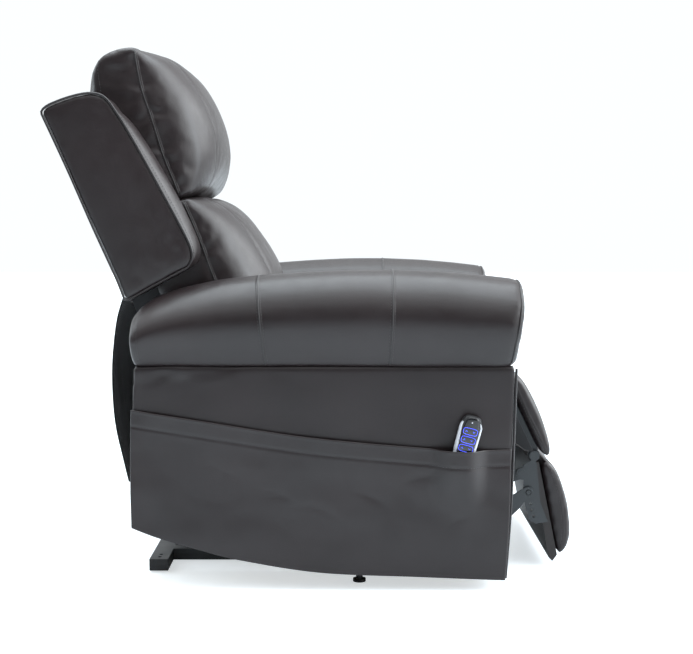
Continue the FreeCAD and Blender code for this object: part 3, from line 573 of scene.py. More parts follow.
# ---- Materials ----
class Shader:
    """A small helper for building one Principled material."""

    def __init__(self, name, **values):
        self.material = bpy.data.materials.new(name)
        self.material.use_nodes = True
        self.tree = self.material.node_tree
        self.bsdf = self.tree.nodes["Principled BSDF"]
        self.coords = self.node("ShaderNodeTexCoord").outputs["Object"]
        for key, value in values.items():
            self.bsdf.inputs[key.replace("_", " ")].default_value = value

    def node(self, kind, **inputs):
        made = self.tree.nodes.new(kind)
        for key, value in inputs.items():
            self.plug(value, made.inputs[key.replace("_", " ")])
        return made

    def plug(self, value, socket):
        if hasattr(value, "is_linked"):
            self.tree.links.new(value, socket)
        else:
            socket.default_value = value

    def stretched(self, scale):
        mapping = self.node("ShaderNodeMapping", Vector=self.coords)
        mapping.inputs["Scale"].default_value = scale
        return mapping.outputs["Vector"]

    def noise(self, scale, detail=3.0, roughness=0.5, vector=None):
        made = self.node("ShaderNodeTexNoise", Vector=vector or self.coords, Scale=scale, Detail=detail,
                         Roughness=roughness)
        return made.outputs["Fac"]

    def cells(self, scale, vector):
        made = self.node("ShaderNodeTexVoronoi", Vector=vector, Scale=scale)
        made.feature = "DISTANCE_TO_EDGE"
        return made.outputs["Distance"]

    def waves(self, scale, direction, distortion=0.0, vector=None):
        place = vector or self.coords
        made = self.node("ShaderNodeTexWave", Vector=place, Scale=scale, Distortion=distortion)
        made.bands_direction = direction
        return made.outputs["Fac"]

    def remap(self, value, low, high, new_low, new_high):
        made = self.node("ShaderNodeMapRange")
        sockets = ("From Min", "From Max", "To Min", "To Max")
        for socket, number in zip(sockets, (low, high, new_low, new_high)):
            made.inputs[socket].default_value = number
        self.plug(value, made.inputs["Value"])
        return made.outputs["Result"]

    def math(self, operation, a, b):
        made = self.node("ShaderNodeMath")
        made.operation = operation
        self.plug(a, made.inputs[0])
        self.plug(b, made.inputs[1])
        return made.outputs["Value"]

    def mix(self, factor, a, b):
        made = self.node("ShaderNodeMix")
        made.data_type = "RGBA"
        self.plug(factor, made.inputs["Factor"])
        self.plug(a, made.inputs[6])
        self.plug(b, made.inputs[7])
        return made.outputs[2]

    def bump(self, height, strength, distance, below=None):
        made = self.node("ShaderNodeBump", Strength=strength, Distance=distance, Height=height)
        if below is not None:
            self.tree.links.new(below, made.inputs["Normal"])
        return made.outputs["Normal"]

    def set(self, **links):
        for key, value in links.items():
            self.plug(value, self.bsdf.inputs[key.replace("_", " ")])
        return self.material


def toned(colour, factor):
    """A darker (factor below 1) or lighter version of a colour."""
    return tuple(c * factor for c in colour[:3]) + (1.0,)


def leather(name, dark, light, shine):
    s = Shader(name)
    broad = s.noise(5.0, 3.0)
    cloudy = s.noise(38.0, 4.0, 0.6)
    warped = s.node("ShaderNodeVectorMath", Vector=s.coords)
    warped.operation = "ADD"
    wobble = s.node("ShaderNodeTexNoise", Vector=s.coords, Scale=260.0, Detail=2.0)
    scaled = s.node("ShaderNodeVectorMath")
    scaled.operation = "SCALE"
    s.plug(wobble.outputs["Color"], scaled.inputs[0])
    scaled.inputs["Scale"].default_value = 0.0022
    s.plug(scaled.outputs["Vector"], warped.inputs[1])
    pebbles = s.cells(430.0, warped.outputs["Vector"])
    grain = s.remap(pebbles, 0.0, 0.16, 0.0, 1.0)
    pores = s.noise(1500.0, 2.0)
    colour = s.mix(s.remap(broad, 0.3, 0.7, 0.0, 1.0), dark, light)
    colour = s.mix(s.remap(grain, 0.0, 0.6, 0.4, 0.0), colour, toned(dark, 0.45))
    sheen = s.remap(cloudy, 0.3, 0.7, shine - 0.05, shine + 0.06)
    rough = s.math("ADD", sheen, s.remap(grain, 0, 0.5, 0.10, 0.0))
    fine = s.bump(pores, 0.10, 0.0002)
    skin = s.bump(grain, 0.22, 0.00035, fine)
    soft = s.bump(s.noise(60.0, 3.0), 0.10, 0.0016, skin)
    s.set(Base_Color=colour, Roughness=rough, Normal=soft)
    s.set(Coat_Weight=0.20, Coat_Roughness=0.26, Specular_IOR_Level=0.36)
    return s.material


def woven_cloth(name, colour, thread=0.9):
    s = Shader(name, Roughness=0.92)
    scale = 2 * math.pi / (thread * MM) / 20.0
    warp = s.waves(scale, "X")
    weft = s.waves(scale, "Z")
    weave = s.math("MULTIPLY", warp, weft)
    fuzz = s.noise(900.0, 2.0)
    tone = s.mix(s.remap(s.noise(9.0), 0.3, 0.7, 0.0, 1.0), colour, toned(colour, 1.7))
    normal = s.bump(s.math("ADD", weave, s.math("MULTIPLY", fuzz, 0.4)), 0.5, 0.0004)
    s.set(Base_Color=tone, Normal=normal, Sheen_Weight=0.25, Sheen_Roughness=0.5)
    return s.material


def painted_steel(name, colour, rough):
    s = Shader(name, Metallic=0.0)
    peel = s.noise(420.0, 2.0)
    patches = s.noise(14.0, 4.0)
    tone = s.mix(s.remap(patches, 0.35, 0.7, 0.0, 1.0), colour, toned(colour, 1.6))
    s.set(Base_Color=tone, Roughness=s.remap(patches, 0.3, 0.7, rough - 0.06, rough + 0.1),
          Normal=s.bump(peel, 0.12, 0.0003), Coat_Weight=0.2, Coat_Roughness=0.3)
    return s.material


def plated_steel(name, colour, rough):
    s = Shader(name, Metallic=1.0)
    brushed = s.noise(60.0, 3.0, 0.6, s.stretched((1.0, 14.0, 14.0)))
    spots = s.noise(180.0, 4.0)
    tone = s.mix(s.remap(spots, 0.4, 0.75, 0.0, 0.5), colour, toned(colour, 0.6))
    s.set(Base_Color=tone, Roughness=s.remap(brushed, 0.3, 0.7, rough - 0.08, rough + 0.12),
          Normal=s.bump(brushed, 0.06, 0.0003))
    return s.material


def sawn_wood(name, pale, dark, rough, rings=26.0):
    s = Shader(name, Roughness=rough)
    drift = s.stretched((0.6, 1.0, 5.0))
    grain = s.waves(rings, "Z", 6.0, drift)
    fibre = s.noise(320.0, 3.0, 0.6, s.stretched((0.1, 1.0, 1.0)))
    tone = s.mix(s.math("MULTIPLY", grain, 0.8), pale, dark)
    tone = s.mix(s.remap(fibre, 0.4, 0.7, 0.0, 0.5), tone, toned(dark, 0.6))
    s.set(Base_Color=tone, Normal=s.bump(s.math("ADD", grain, fibre), 0.15, 0.0004))
    return s.material


def moulded_plastic(name, colour, rough, texture=0.12, coat=0.0):
    s = Shader(name)
    pits = s.noise(700.0, 2.0)
    patches = s.noise(22.0, 3.0)
    tone = s.mix(s.remap(patches, 0.3, 0.7, 0.0, 1.0), colour, toned(colour, 1.35))
    s.set(Base_Color=tone, Roughness=s.remap(patches, 0.3, 0.7, rough - 0.04, rough + 0.06),
          Normal=s.bump(pits, texture, 0.0002), Coat_Weight=coat, Coat_Roughness=0.05)
    return s.material


def lit_ring(name, colour, strength):
    s = Shader(name, Roughness=0.3)
    flicker = s.noise(300.0, 1.0)
    glow = s.mix(s.remap(flicker, 0.3, 0.7, 0.0, 1.0), colour, (colour[0] * 1.5, colour[1] * 1.6, 1.0, 1.0))
    s.set(Base_Color=glow, Emission_Color=glow, Emission_Strength=strength)
    return s.material


def sewing_thread(name, colour):
    s = Shader(name, Roughness=0.55)
    ply = s.waves(2600.0, "DIAGONAL")
    tone = s.mix(s.remap(s.noise(120.0), 0.3, 0.7, 0.0, 1.0), colour, toned(colour, 2.2))
    s.set(Base_Color=tone, Normal=s.bump(ply, 0.5, 0.0002), Sheen_Weight=0.2)
    return s.material


LEATHER = leather("espresso_leather", (0.0112, 0.0072, 0.0077, 1), (0.0172, 0.0115, 0.0121, 1), 0.35)
PIPING = leather("piping_leather", (0.0105, 0.0078, 0.0084, 1), (0.016, 0.012, 0.0125, 1), 0.32)
THREAD = sewing_thread("brown_thread", (0.0065, 0.005, 0.0052, 1))
CLOTH = woven_cloth("black_lining", (0.006, 0.006, 0.007, 1))
STEEL = painted_steel("black_powder_coat", (0.013, 0.0155, 0.018, 1), 0.42)
ZINC = plated_steel("zinc_plate", (0.42, 0.43, 0.45, 1), 0.38)
WIRE = plated_steel("spring_wire", (0.16, 0.16, 0.18, 1), 0.42)
WOOD = sawn_wood("frame_timber", (0.50, 0.34, 0.19, 1), (0.33, 0.20, 0.10, 1), 0.72)
BOARD = sawn_wood("dark_board", (0.020, 0.014, 0.013, 1), (0.011, 0.008, 0.008, 1), 0.5, 40.0)
PLASTIC = moulded_plastic("black_plastic", (0.012, 0.012, 0.013, 1), 0.5, 0.25)
RUBBER = moulded_plastic("cable_rubber", (0.010, 0.010, 0.010, 1), 0.62, 0.1)
SILVER = moulded_plastic("silver_plastic", (0.46, 0.47, 0.50, 1), 0.26, 0.03, 0.4)
GLOSS = moulded_plastic("gloss_black", (0.006, 0.006, 0.007, 1), 0.12, 0.02, 0.8)
GLOW = lit_ring("key_light", (0.06, 0.08, 0.80, 1), 1.3)
GLYPH = lit_ring("key_glyph_light", (0.05, 0.07, 0.55, 1), 0.5)

SLOT_MATERIALS = {
    "black_cloth": CLOTH, "black_steel": STEEL, "zinc_steel": ZINC, "spring_steel": WIRE, "frame_wood": WOOD,
    "dark_board": BOARD, "black_plastic": PLASTIC, "cable_rubber": RUBBER, "silver_plastic": SILVER,
    "gloss_black": GLOSS, "key_plastic": GLOSS, "brown_leather": LEATHER}


def dress_cad_nodes():
    """Gives every CAD piece its material, and all but the spring and cable pieces a fine edge radius that
    catches the light.
    """
    slots = {s["node"]: s["material_slot"] for s in frame["record"]["subparts"]}
    for node, thing in frame["nodes"].items():
        thing.data.materials.clear()
        thing.data.materials.append(SLOT_MATERIALS[slots[node]])
        if slots[node] in ("spring_steel", "cable_rubber"):
            continue
        bevel = thing.modifiers.new("edges", "BEVEL")
        bevel.width = 0.5 * MM
        bevel.segments = 2
        bevel.limit_method = "ANGLE"
        bevel.angle_limit = math.radians(50)
        bevel.use_clamp_overlap = True
        bevel.harden_normals = False


dress_cad_nodes()


# ---- Back: head cushion, lumbar cushion, wings, outside back, cloth ----
def pillow(name, side, centre, half, stations=34, power=2.0):
    """A cushion whose outline changes from side (at its ends) to centre (in the middle)."""
    rings = []
    for k in range(stations + 1):
        x = -half * math.cos(math.pi * k / stations)
        share = max(0.0, 1 - abs(x / half) ** power) ** (1 / power)
        ring = side + (centre - side) * share
        rings.append([at(x, f, z) for f, z in ring])
    return loft(name, rings)


def ring_at(side, centre, half, x, power=2.0):
    share = max(0.0, 1 - abs(x / half) ** power) ** (1 / power)
    return side + (centre - side) * share


def held_near(thing, paths, reach):
    d, _ = distance_to_paths(get_points(thing), paths, reach * 2 * MM)
    return np.clip(1.4 - d / (reach * MM), 0, 1)


HEAD_COUNTS = (46, 26, 70, 24)
HEAD_REAR = (on_back(171, 56), on_back(422, 67))
HEAD_SIDE = closed_outline([
    HEAD_REAR,
    [HEAD_REAR[1], (-439, 1021), (-436, 1062), (-420, 1092), (-389, 1109), (-345, 1115)],
    [(-345, 1115), (-338, 1070), (-328, 1023), (-308, 963), (-288, 896), (-263, 832), (-251, 800)],
    [(-251, 800), HEAD_REAR[0]]], HEAD_COUNTS)
HEAD_CENTRE = closed_outline([
    HEAD_REAR,
    [HEAD_REAR[1], (-440, 1026), (-434, 1062), (-416, 1092), (-388, 1108), (-345, 1115)],
    [(-345, 1115), (-306, 1113), (-270, 1100), (-241, 1070), (-214, 1032), (-193, 990),
     (-182, 951), (-177, 909), (-180, 876), (-188, 847), (-204, 820)],
    [(-204, 820), HEAD_REAR[0]]], HEAD_COUNTS)

LUMBAR_COUNTS = (46, 24, 56, 34)
LUMBAR_REAR = (on_back(-104, 56), on_back(158, 56))
LUMBAR_SIDE = closed_outline([
    LUMBAR_REAR,
    [LUMBAR_REAR[1], (-300, 780), (-247, 797)],
    [(-247, 797), (-227, 751), (-206, 699), (-190, 654), (-170, 600), (-150, 540), (-140, 512)],
    [(-140, 512), LUMBAR_REAR[0]]], LUMBAR_COUNTS)
LUMBAR_CENTRE = closed_outline([
    LUMBAR_REAR,
    [LUMBAR_REAR[1], (-280, 795), (-210, 806)],
    [(-210, 806), (-166, 788), (-137, 763), (-111, 732), (-84, 693),
     (-62, 653), (-52, 628), (-42, 580), (-40, 540), (-62, 508)],
    [(-62, 508), LUMBAR_REAR[0]]], LUMBAR_COUNTS)
PANEL_SEAM_X = 150.0


def cushion_paths(side, centre, counts, power):
    """Seams of a back cushion: two at the edges of its front, two down its front, two behind its top."""
    top, front, low = sum(counts[:1]), sum(counts[:2]), sum(counts[:3])
    edge = [[at(s * (CUSHION_HALF - 0.5), f, z) for f, z in side[front:low]] for s in (-1, 1)]
    ring = ring_at(side, centre, CUSHION_HALF, PANEL_SEAM_X, power)
    panel = [[at(s * PANEL_SEAM_X, f, z) for f, z in ring[top:low]] for s in (-1, 1)]
    behind_top = [(-420, 1092), (-418, 1070), (-415, 1047), (-411, 1021)]
    rear = [[at(s * (CUSHION_HALF + 1), f, z) for f, z in behind_top] for s in (-1, 1)]
    return edge, panel, rear


def back_cushion(name, side, centre, counts, power, stand_for, seed, puffs):
    edge, panel, rear_seam = cushion_paths(side, centre, counts, power)
    thing = pillow(name, side, centre, CUSHION_HALF, power=power)
    remesh(thing, 3)
    points = get_points(thing)
    held = held_near(thing, edge + panel, 7)
    rear, foot = on_back(0, 56)
    rise = points[:, 2] / MM - foot
    depth = (forward_of(points) - rear) * math.cos(BACK_TILT) + rise * math.sin(BACK_TILT)
    held = np.maximum(held, np.clip(1.0 - depth / 14.0, 0, 1))
    flat = np.clip((np.abs(points[:, 0]) / MM - (CUSHION_HALF - 4)) / 3, 0, 1)
    inflate(thing, 4.0, puffs * (1 - 0.75 * flat), held, growth=0.004)
    groove(thing, panel, 1.8, 4.0)
    groove(thing, edge, 1.6, 6.0)
    pucker(thing, edge, 4.2, 30, 26, seed)
    pucker(thing, panel, 0.8, 18, 22, seed + 3)
    crease(thing, 1.3, 90, seed + 5)

    def side_face(where):
        return np.clip((np.abs(where[:, 0]) / MM - (CUSHION_HALF - 5)) / 4, 0, 1)

    crease(thing, 2.0, 34, seed + 6, (1, 0.55, 1.5), side_face)
    relax(thing, 1)
    clip_across(thing, -CUSHION_HALF - 4.5, CUSHION_HALF + 4.5)
    soften(thing)
    finish_piece(thing, "back", LEATHER, [stand_for])
    welt(name + "_edge_seams", thing, edge, DOUBLE_WELT, "back")
    welt(name + "_panel_seams", thing, panel, SINGLE_WELT, "back")
    stitches(name + "_stitches", thing, edge, (-4.2, 4.2), "back", THREAD)
    stitches(name + "_panel_stitches", thing, panel, (3.8,), "back", THREAD)
    if stand_for == "head_cushion":
        stitches(name + "_rear_stitches", thing, rear_seam, (3.6,), "back", THREAD)


back_cushion("head_pillow", HEAD_SIDE, HEAD_CENTRE, HEAD_COUNTS, 3.0, "head_cushion", 3, 7.0)
back_cushion("lumbar_pillow", LUMBAR_SIDE, LUMBAR_CENTRE, LUMBAR_COUNTS, 2.6, "lumbar_cushion", 11, 7.0)


WING_LOOP = closed_outline([
    [(-357, 600), (-372, 639), (-415, 736), (-466, 856), (-518, 972)],
    [(-518, 972), (-506, 984), (-481, 995), (-454, 1004), (-427, 1010), (-407, 1010),
     (-388, 1004), (-372, 986)],
    [(-372, 986), (-345, 944), (-310, 882), (-271, 810), (-240, 752), (-217, 705), (-212, 678), (-221, 657)],
    [(-221, 657), (-291, 620), (-326, 600), (-341, 592)],
    [(-341, 592), (-352, 590), (-357, 600)]], (60, 20, 58, 24, 8))


def swell_boxing(wing, front):
    """Pads the narrow front face of a wing forward of its outer seam."""
    points = get_points(wing)
    f = forward_of(points)
    z = points[:, 2] / MM
    away = np.hypot(f[:, None] - front[:, 0], z[:, None] - front[:, 1])
    place = away.argmin(1) / (len(front) - 1)
    ends = np.sin(np.pi * np.clip(place, 0, 1)) ** 0.45
    inward = np.clip((WING_OUT - 3 + points[:, 0] / MM) / 34.0, 0, 1)
    push = 13.0 * ends * np.sqrt(inward) * np.exp(-(away.min(1) / 26.0) ** 2) * MM
    points[:, 1] -= push * 0.875
    points[:, 2] += push * 0.484
    set_points(wing, points)


def wings():
    loop = inset_outline(WING_LOOP, 1.0)
    wing = rounded_slab("wing_right", loop, -WING_OUT + 2, -WING_IN - 1, 5)
    remesh(wing, 2)
    swell_boxing(wing, loop[82:146])
    edge = [[at(-WING_OUT + 2, f, z) for f, z in np.vstack([loop, loop[:1]])]]
    held = held_near(wing, edge, 9)
    inflate(wing, 2.0, 2.5, held)
    groove(wing, edge, 1.2, 3.0)
    crease(wing, 1.3, 110, 21)
    corner = at(-WING_OUT, -250, 668)

    def near_corner(points):
        d = np.linalg.norm(points - np.array(corner), axis=1)
        return np.exp(-(d / 0.075) ** 2)

    crease(wing, 2.6, 26, 22, (1, 1.6, 0.7), near_corner)
    relax(wing, 1)
    clip_across(wing, -WING_OUT - 3, -WING_IN + 4)
    soften(wing)
    front = [at(-WING_OUT + 9, f, z) for f, z in inset_outline(loop, -7)[84:144]]
    outer = smooth_list([at(-WING_OUT + 3.5, f, z) for f, z in inset_outline(loop, 0.5)], 1)
    cord = tube("wing_piping_right", outer, 2.6, 8, closed=True)
    left = leather_pair(wing, "wing_left", "back", ["back_wings"])
    for piece in (cord, mirrored_copy(cord, "wing_piping_left")):
        finish_piece(piece, "back", PIPING)
    for piece, sign, name in ((wing, 1, "right"), (left, -1, "left")):
        stitches("wing_stitches_" + name, piece, [across_chair(front, sign)], (0.0,), "back", THREAD)


wings()


def outside_back():
    loop = closed_outline([
        [on_back(-6, -8), on_back(200, -11), on_back(432, -8)],
        [on_back(432, -8), on_back(440, 0), on_back(441, 12)],
        [on_back(441, 12), on_back(443, 50)],
        [on_back(443, 50), on_back(434, 58)],
        [on_back(434, 58), on_back(431, 6)],
        [on_back(431, 6), on_back(-6, 3)],
        [on_back(-6, 3), on_back(-6, -8)]], (60, 8, 12, 4, 16, 60, 4))
    half = WING_IN - 3
    panel = rounded_slab("outside_back_cover", loop, -half, half, 4)
    remesh(panel, 2)
    crease(panel, 1.4, 140, 31)
    soften(panel)
    finish_piece(panel, "back", LEATHER, ["outside_back_panel"])
    side = [at(-half + 10, *on_back(h, -9)) for h in range(4, 430, 12)]
    top = [at(x, *on_back(424, -9)) for x in range(-250, 251, 10)]
    seams = [side, top, across_chair(side, -1)]
    stitches("outside_back_stitches", panel, seams, (0.0,), "back", THREAD)


outside_back()


LINING_THICKNESS = 2.4
LINING_HALF = 252


def back_lining():
    """A loose black sheet from the bottom of the back down between the arms."""
    profile = smooth_curve([(-371, 190), (-381, 235), (-394, 300), (-402, 370), (-405, 440), (-400, 500),
                            (-391, 548), (-378, 588)], 90)
    across = np.linspace(-LINING_HALF, LINING_HALF, 84)
    verts = []
    for shift in (0.0, LINING_THICKNESS):
        for x in across:
            for i, (f, z) in enumerate(profile):
                t = i / (len(profile) - 1)
                slack = math.sin(math.pi * t)
                fold = noise.fractal(Vector((x * 0.011, z * 0.004, 4.2)), 1.0, 2.0, 2) * 6 * slack
                sag = -4 * slack * (1 - (x / LINING_HALF) ** 2)
                verts.append(at(x, f + fold + sag + shift, z))
    sheet = shade_smooth(double_sheet("back_lining", verts, len(across), len(profile)))
    sheet.data.materials.append(CLOTH)
    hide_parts("upper_back_cloth", "lower_back_cloth")
    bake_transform(sheet)


back_lining()


STILE_SIDE = (256.2, 258.4)  # inner and outer face of the cloth on a stile


def stile_covers():
    """Black cloth stapled over the outer sides of the back frame."""
    loop = closed_outline([
        [on_back(-203, -1), on_back(424, -1)], [on_back(424, -1), on_back(424, 55)],
        [on_back(424, 55), on_back(90, 55)], [on_back(90, 55), on_back(60, 96)],
        [on_back(60, 96), on_back(-110, 96)], [on_back(-110, 96), on_back(-150, 55)],
        [on_back(-150, 55), on_back(-203, 55)],
        [on_back(-203, 55), on_back(-203, -1)]], (40, 6, 24, 5, 16, 5, 6, 6))
    for side, name in ((-1, "right"), (1, "left")):
        low, high = sorted(side * x for x in STILE_SIDE)
        cover = rounded_slab("stile_cover_" + name, loop, low, high, 0.8)
        finish_piece(shade_smooth(cover), "back", CLOTH)


stile_covers()


def wrap(name, corners, half, body, material, sides=((-1, 1),)):
    """A cover around a rail that runs across the chair; corners give its outline from the side."""
    loop = closed_outline([[a, b] for a, b in zip(corners, corners[1:] + corners[:1])], (16,) * len(corners))
    for low, high in sides:
        ends = sorted((low * half[0], high * half[1]))
        suffix = "" if low * high < 0 else "_right" if high < 0 else "_left"
        finish_piece(shade_smooth(rounded_slab(name + suffix, loop, *ends, 0.8)), body, material)


wrap("back_base_cover", [on_back(-192, 11), on_back(-143, 11), on_back(-143, 52), on_back(-192, 52)],
     (231, 231), "back", CLOTH)
wrap("seat_rear_cover", [(-223.4, 353.6), (-195.6, 353.6), (-195.6, 393.4), (-223.4, 393.4)],
     (223, 223), "chair", CLOTH)
wrap("seat_front_cover", [(395.6, 352), (398.4, 352), (398.4, 400), (395.6, 400)],
     (223, 223), "chair", LEATHER)
wrap("arm_rear_cover", [(-330.5, 134), (-325.6, 132), (-325.6, 454), (-330.5, 454)],
     (ARM_IN + 0.6, PANEL_OUT - 5), "chair", LEATHER, ((-1, -1), (1, 1)))


# ---- Seat ----
SEAT_HALF = CUSHION_HALF - 2
SEAT_POWER = 3.5


def seat():
    counts = (30, 80, 26, 60)
    side = closed_outline([
        [(-220, 404), (-220, 468)],
        [(-220, 468), (0, 474), (200, 478), (350, 474)],
        [(350, 474), (388, 462), (402, 434), (394, 404)],
        [(394, 404), (-220, 404)]], counts)
    centre = closed_outline([
        [(-220, 404), (-220, 474)],
        [(-220, 474), (0, 490), (200, 497), (350, 490)],
        [(350, 490), (394, 472), (408, 436), (394, 404)],
        [(394, 404), (-220, 404)]], counts)
    thing = pillow("seat_pillow", side, centre, SEAT_HALF, power=SEAT_POWER)
    remesh(thing, 4)
    ring = ring_at(side, centre, SEAT_HALF, PANEL_SEAM_X, SEAT_POWER)
    panel = [[at(s * PANEL_SEAM_X, f, z) for f, z in ring[30:136]] for s in (-1, 1)]
    nose = [[at(x, 366, 492 - 14 * abs(x / 262.0) ** SEAT_POWER) for x in range(-255, 256, 8)]]
    points = get_points(thing)
    held = held_near(thing, panel + nose, 7)
    held = np.maximum(held, np.clip(1 - (points[:, 2] / MM - 404) / 10, 0, 1))
    side_face = np.clip((np.abs(points[:, 0]) / MM - (CUSHION_HALF - 7)) / 4, 0, 1)
    inflate(thing, 4.0, 8.0 * (1 - 0.8 * side_face), held, growth=0.006)
    groove(thing, panel + nose, 1.6, 3.4)
    pucker(thing, nose, 1.6, 20, 26, 41)
    crease(thing, 1.8, 120, 42)
    relax(thing, 1)
    clip_across(thing, -CUSHION_HALF - 2, CUSHION_HALF + 2)
    soften(thing)
    finish_piece(thing, "chair", LEATHER, ["seat_cushion"])
    stitches("seat_stitches", thing, panel + nose, (3.6,), "chair", THREAD)


seat()


# ---- Arms ----
ROLL_SECTION = [(266, 456), (266, 520), (267, 586), (280, 628), (322, 652), (370, 655),
                (410, 644), (441, 612), (458, 570), (457, 530), (442, 492), (424, 457)]
ROLL_BASE = 456.0
ROLL_TOP = 656.0
TOP_LINE = np.array([(-345, 562), (-291, 600), (-240, 618), (-158, 636), (-81, 645), (5, 651),
                     (97, 655), (195, 656), (291, 653), (372, 646), (470, 634)], float)
CROSS_SEAMS = (((-62, 461), (-73, 575), (-79, 645)), ((187, 461), (193, 575), (194, 655)))


def roll_front(z):
    return 441.0 + 19.0 * min(1.0, max(0.0, (z - 459) / 132.0))


def roll_rear(z):
    return -331.0 - 4.0 * min(1.0, max(0.0, (z - 459) / 108.0))


def roll_height(z, f):
    """The height of a point of the roll's section where the roll's top follows its side outline."""
    top = np.interp(f, TOP_LINE[:, 0], TOP_LINE[:, 1])
    return ROLL_BASE + (z - ROLL_BASE) * (top - ROLL_BASE) / (ROLL_TOP - ROLL_BASE)


def roll_ring(s, inset, push=0.0):
    """One section of the roll; s runs from the rear (0) to the front (1)."""
    f_mid = roll_rear(560) + s * (roll_front(560) - roll_rear(560))
    section = np.array([(x, roll_height(z, f_mid)) for x, z in smooth_curve(ROLL_SECTION, 96)])
    base = [(422.0 - 156.0 * t, ROLL_BASE) for t in np.linspace(0.1, 0.9, 14)]
    section = np.vstack([section, np.array(base)])
    section = inset_outline(section, inset)
    ring = []
    for x, z in section:
        f = roll_rear(z) + s * (roll_front(z) - roll_rear(z)) + push
        ring.append(at(-x, f, z))
    return ring


def arm_rolls():
    rings = []
    steps = 5
    for k in range(steps):
        a = math.pi / 2 * k / steps
        rings.append(roll_ring(0.0, 9 * (1 - math.sin(a)) + 3, 9 * (1 - math.cos(a))))
    for s in np.linspace(0.02, 0.965, 60):
        rings.append(roll_ring(s, 3.0))
    for k in range(1, steps + 2):
        a = math.pi / 2 * k / (steps + 1)
        rings.append(roll_ring(0.965, 3 + 13 * (1 - math.cos(a)), 27 * math.sin(a)))
    roll = loft("arm_roll_right", rings)
    remesh(roll, 3)
    crosses = []
    for line in CROSS_SEAMS:
        path = []
        for x, z in smooth_curve(ROLL_SECTION, 60):
            f = np.interp(z, [p[1] for p in line], [p[0] for p in line])
            path.append(at(-x, f, roll_height(z, f)))
        crosses.append(path)
    face_edge = [roll_ring(0.985, 3.0)[3:93]]
    rear_edge = [roll_ring(0.012, 3.0)[3:93]]
    points = get_points(roll)
    held = held_near(roll, crosses + face_edge, 6)
    held = np.maximum(held, np.clip(1 - (points[:, 2] / MM - 461) / 12, 0, 1))
    inner = np.clip((-262 - points[:, 0] / MM) / 12, 0, 1)
    inflate(roll, 3.0, 2.0 + 3.5 * inner, held)
    groove(roll, crosses, 1.8, 3.0)
    groove(roll, face_edge + rear_edge, 1.8, 3.0)
    pucker(roll, crosses, 0.8, 18, 26, 52)
    pucker(roll, face_edge, 1.0, 16, 20, 53)
    crease(roll, 1.6, 150, 54, (1, 0.6, 1))
    relax(roll, 1)
    points = get_points(roll)
    points[:, 0] = np.minimum(points[:, 0], -(ARM_IN - 1.0) * MM)
    points[:, 2] = np.maximum(points[:, 2], (ROLL_BASE - 1.5) * MM)
    set_points(roll, points)
    soften(roll)
    left = leather_pair(roll, "arm_roll_left", "chair", ["arm_rolls"])
    cord_path = smooth_list(drape(surface_tree(roll), [p for p in roll_ring(0.99, 2.0)[2:94]], 4.0)[0], 2)
    cord = tube("arm_face_piping_right", cord_path, 2.4, 8)
    for piece in (cord, mirrored_copy(cord, "arm_face_piping_left")):
        finish_piece(piece, "chair", PIPING)
    for piece, sign, name in ((roll, 1, "right"), (left, -1, "left")):
        across = [across_chair(path, sign) for path in crosses]
        rims = [across_chair(path, sign) for path in face_edge + rear_edge]
        welt("arm_cross_seams_" + name, piece, across, DOUBLE_WELT, "chair")
        welt("arm_rear_seam_" + name, piece, rims[1:], SINGLE_WELT, "chair")
        stitches("arm_stitches_" + name, piece, across, (-4.4, 4.4), "chair", THREAD)
        stitches("arm_rim_stitches_" + name, piece, rims, (-6.5,), "chair", THREAD)


arm_rolls()


PANEL_TOP = SEAM_Z + 4.0
PANEL_LOOP = closed_outline([
    [(-337, 128), (-310, 118), (-273, 105), (-198, 83), (-117, 62), (46, 36), (250, 27), (423, 20)],
    [(423, 20), (434, 188), (441, PANEL_TOP)],
    [(441, PANEL_TOP), (-330, PANEL_TOP)],
    [(-330, PANEL_TOP), (-341, 230), (-337, 128)]], (90, 50, 80, 40))


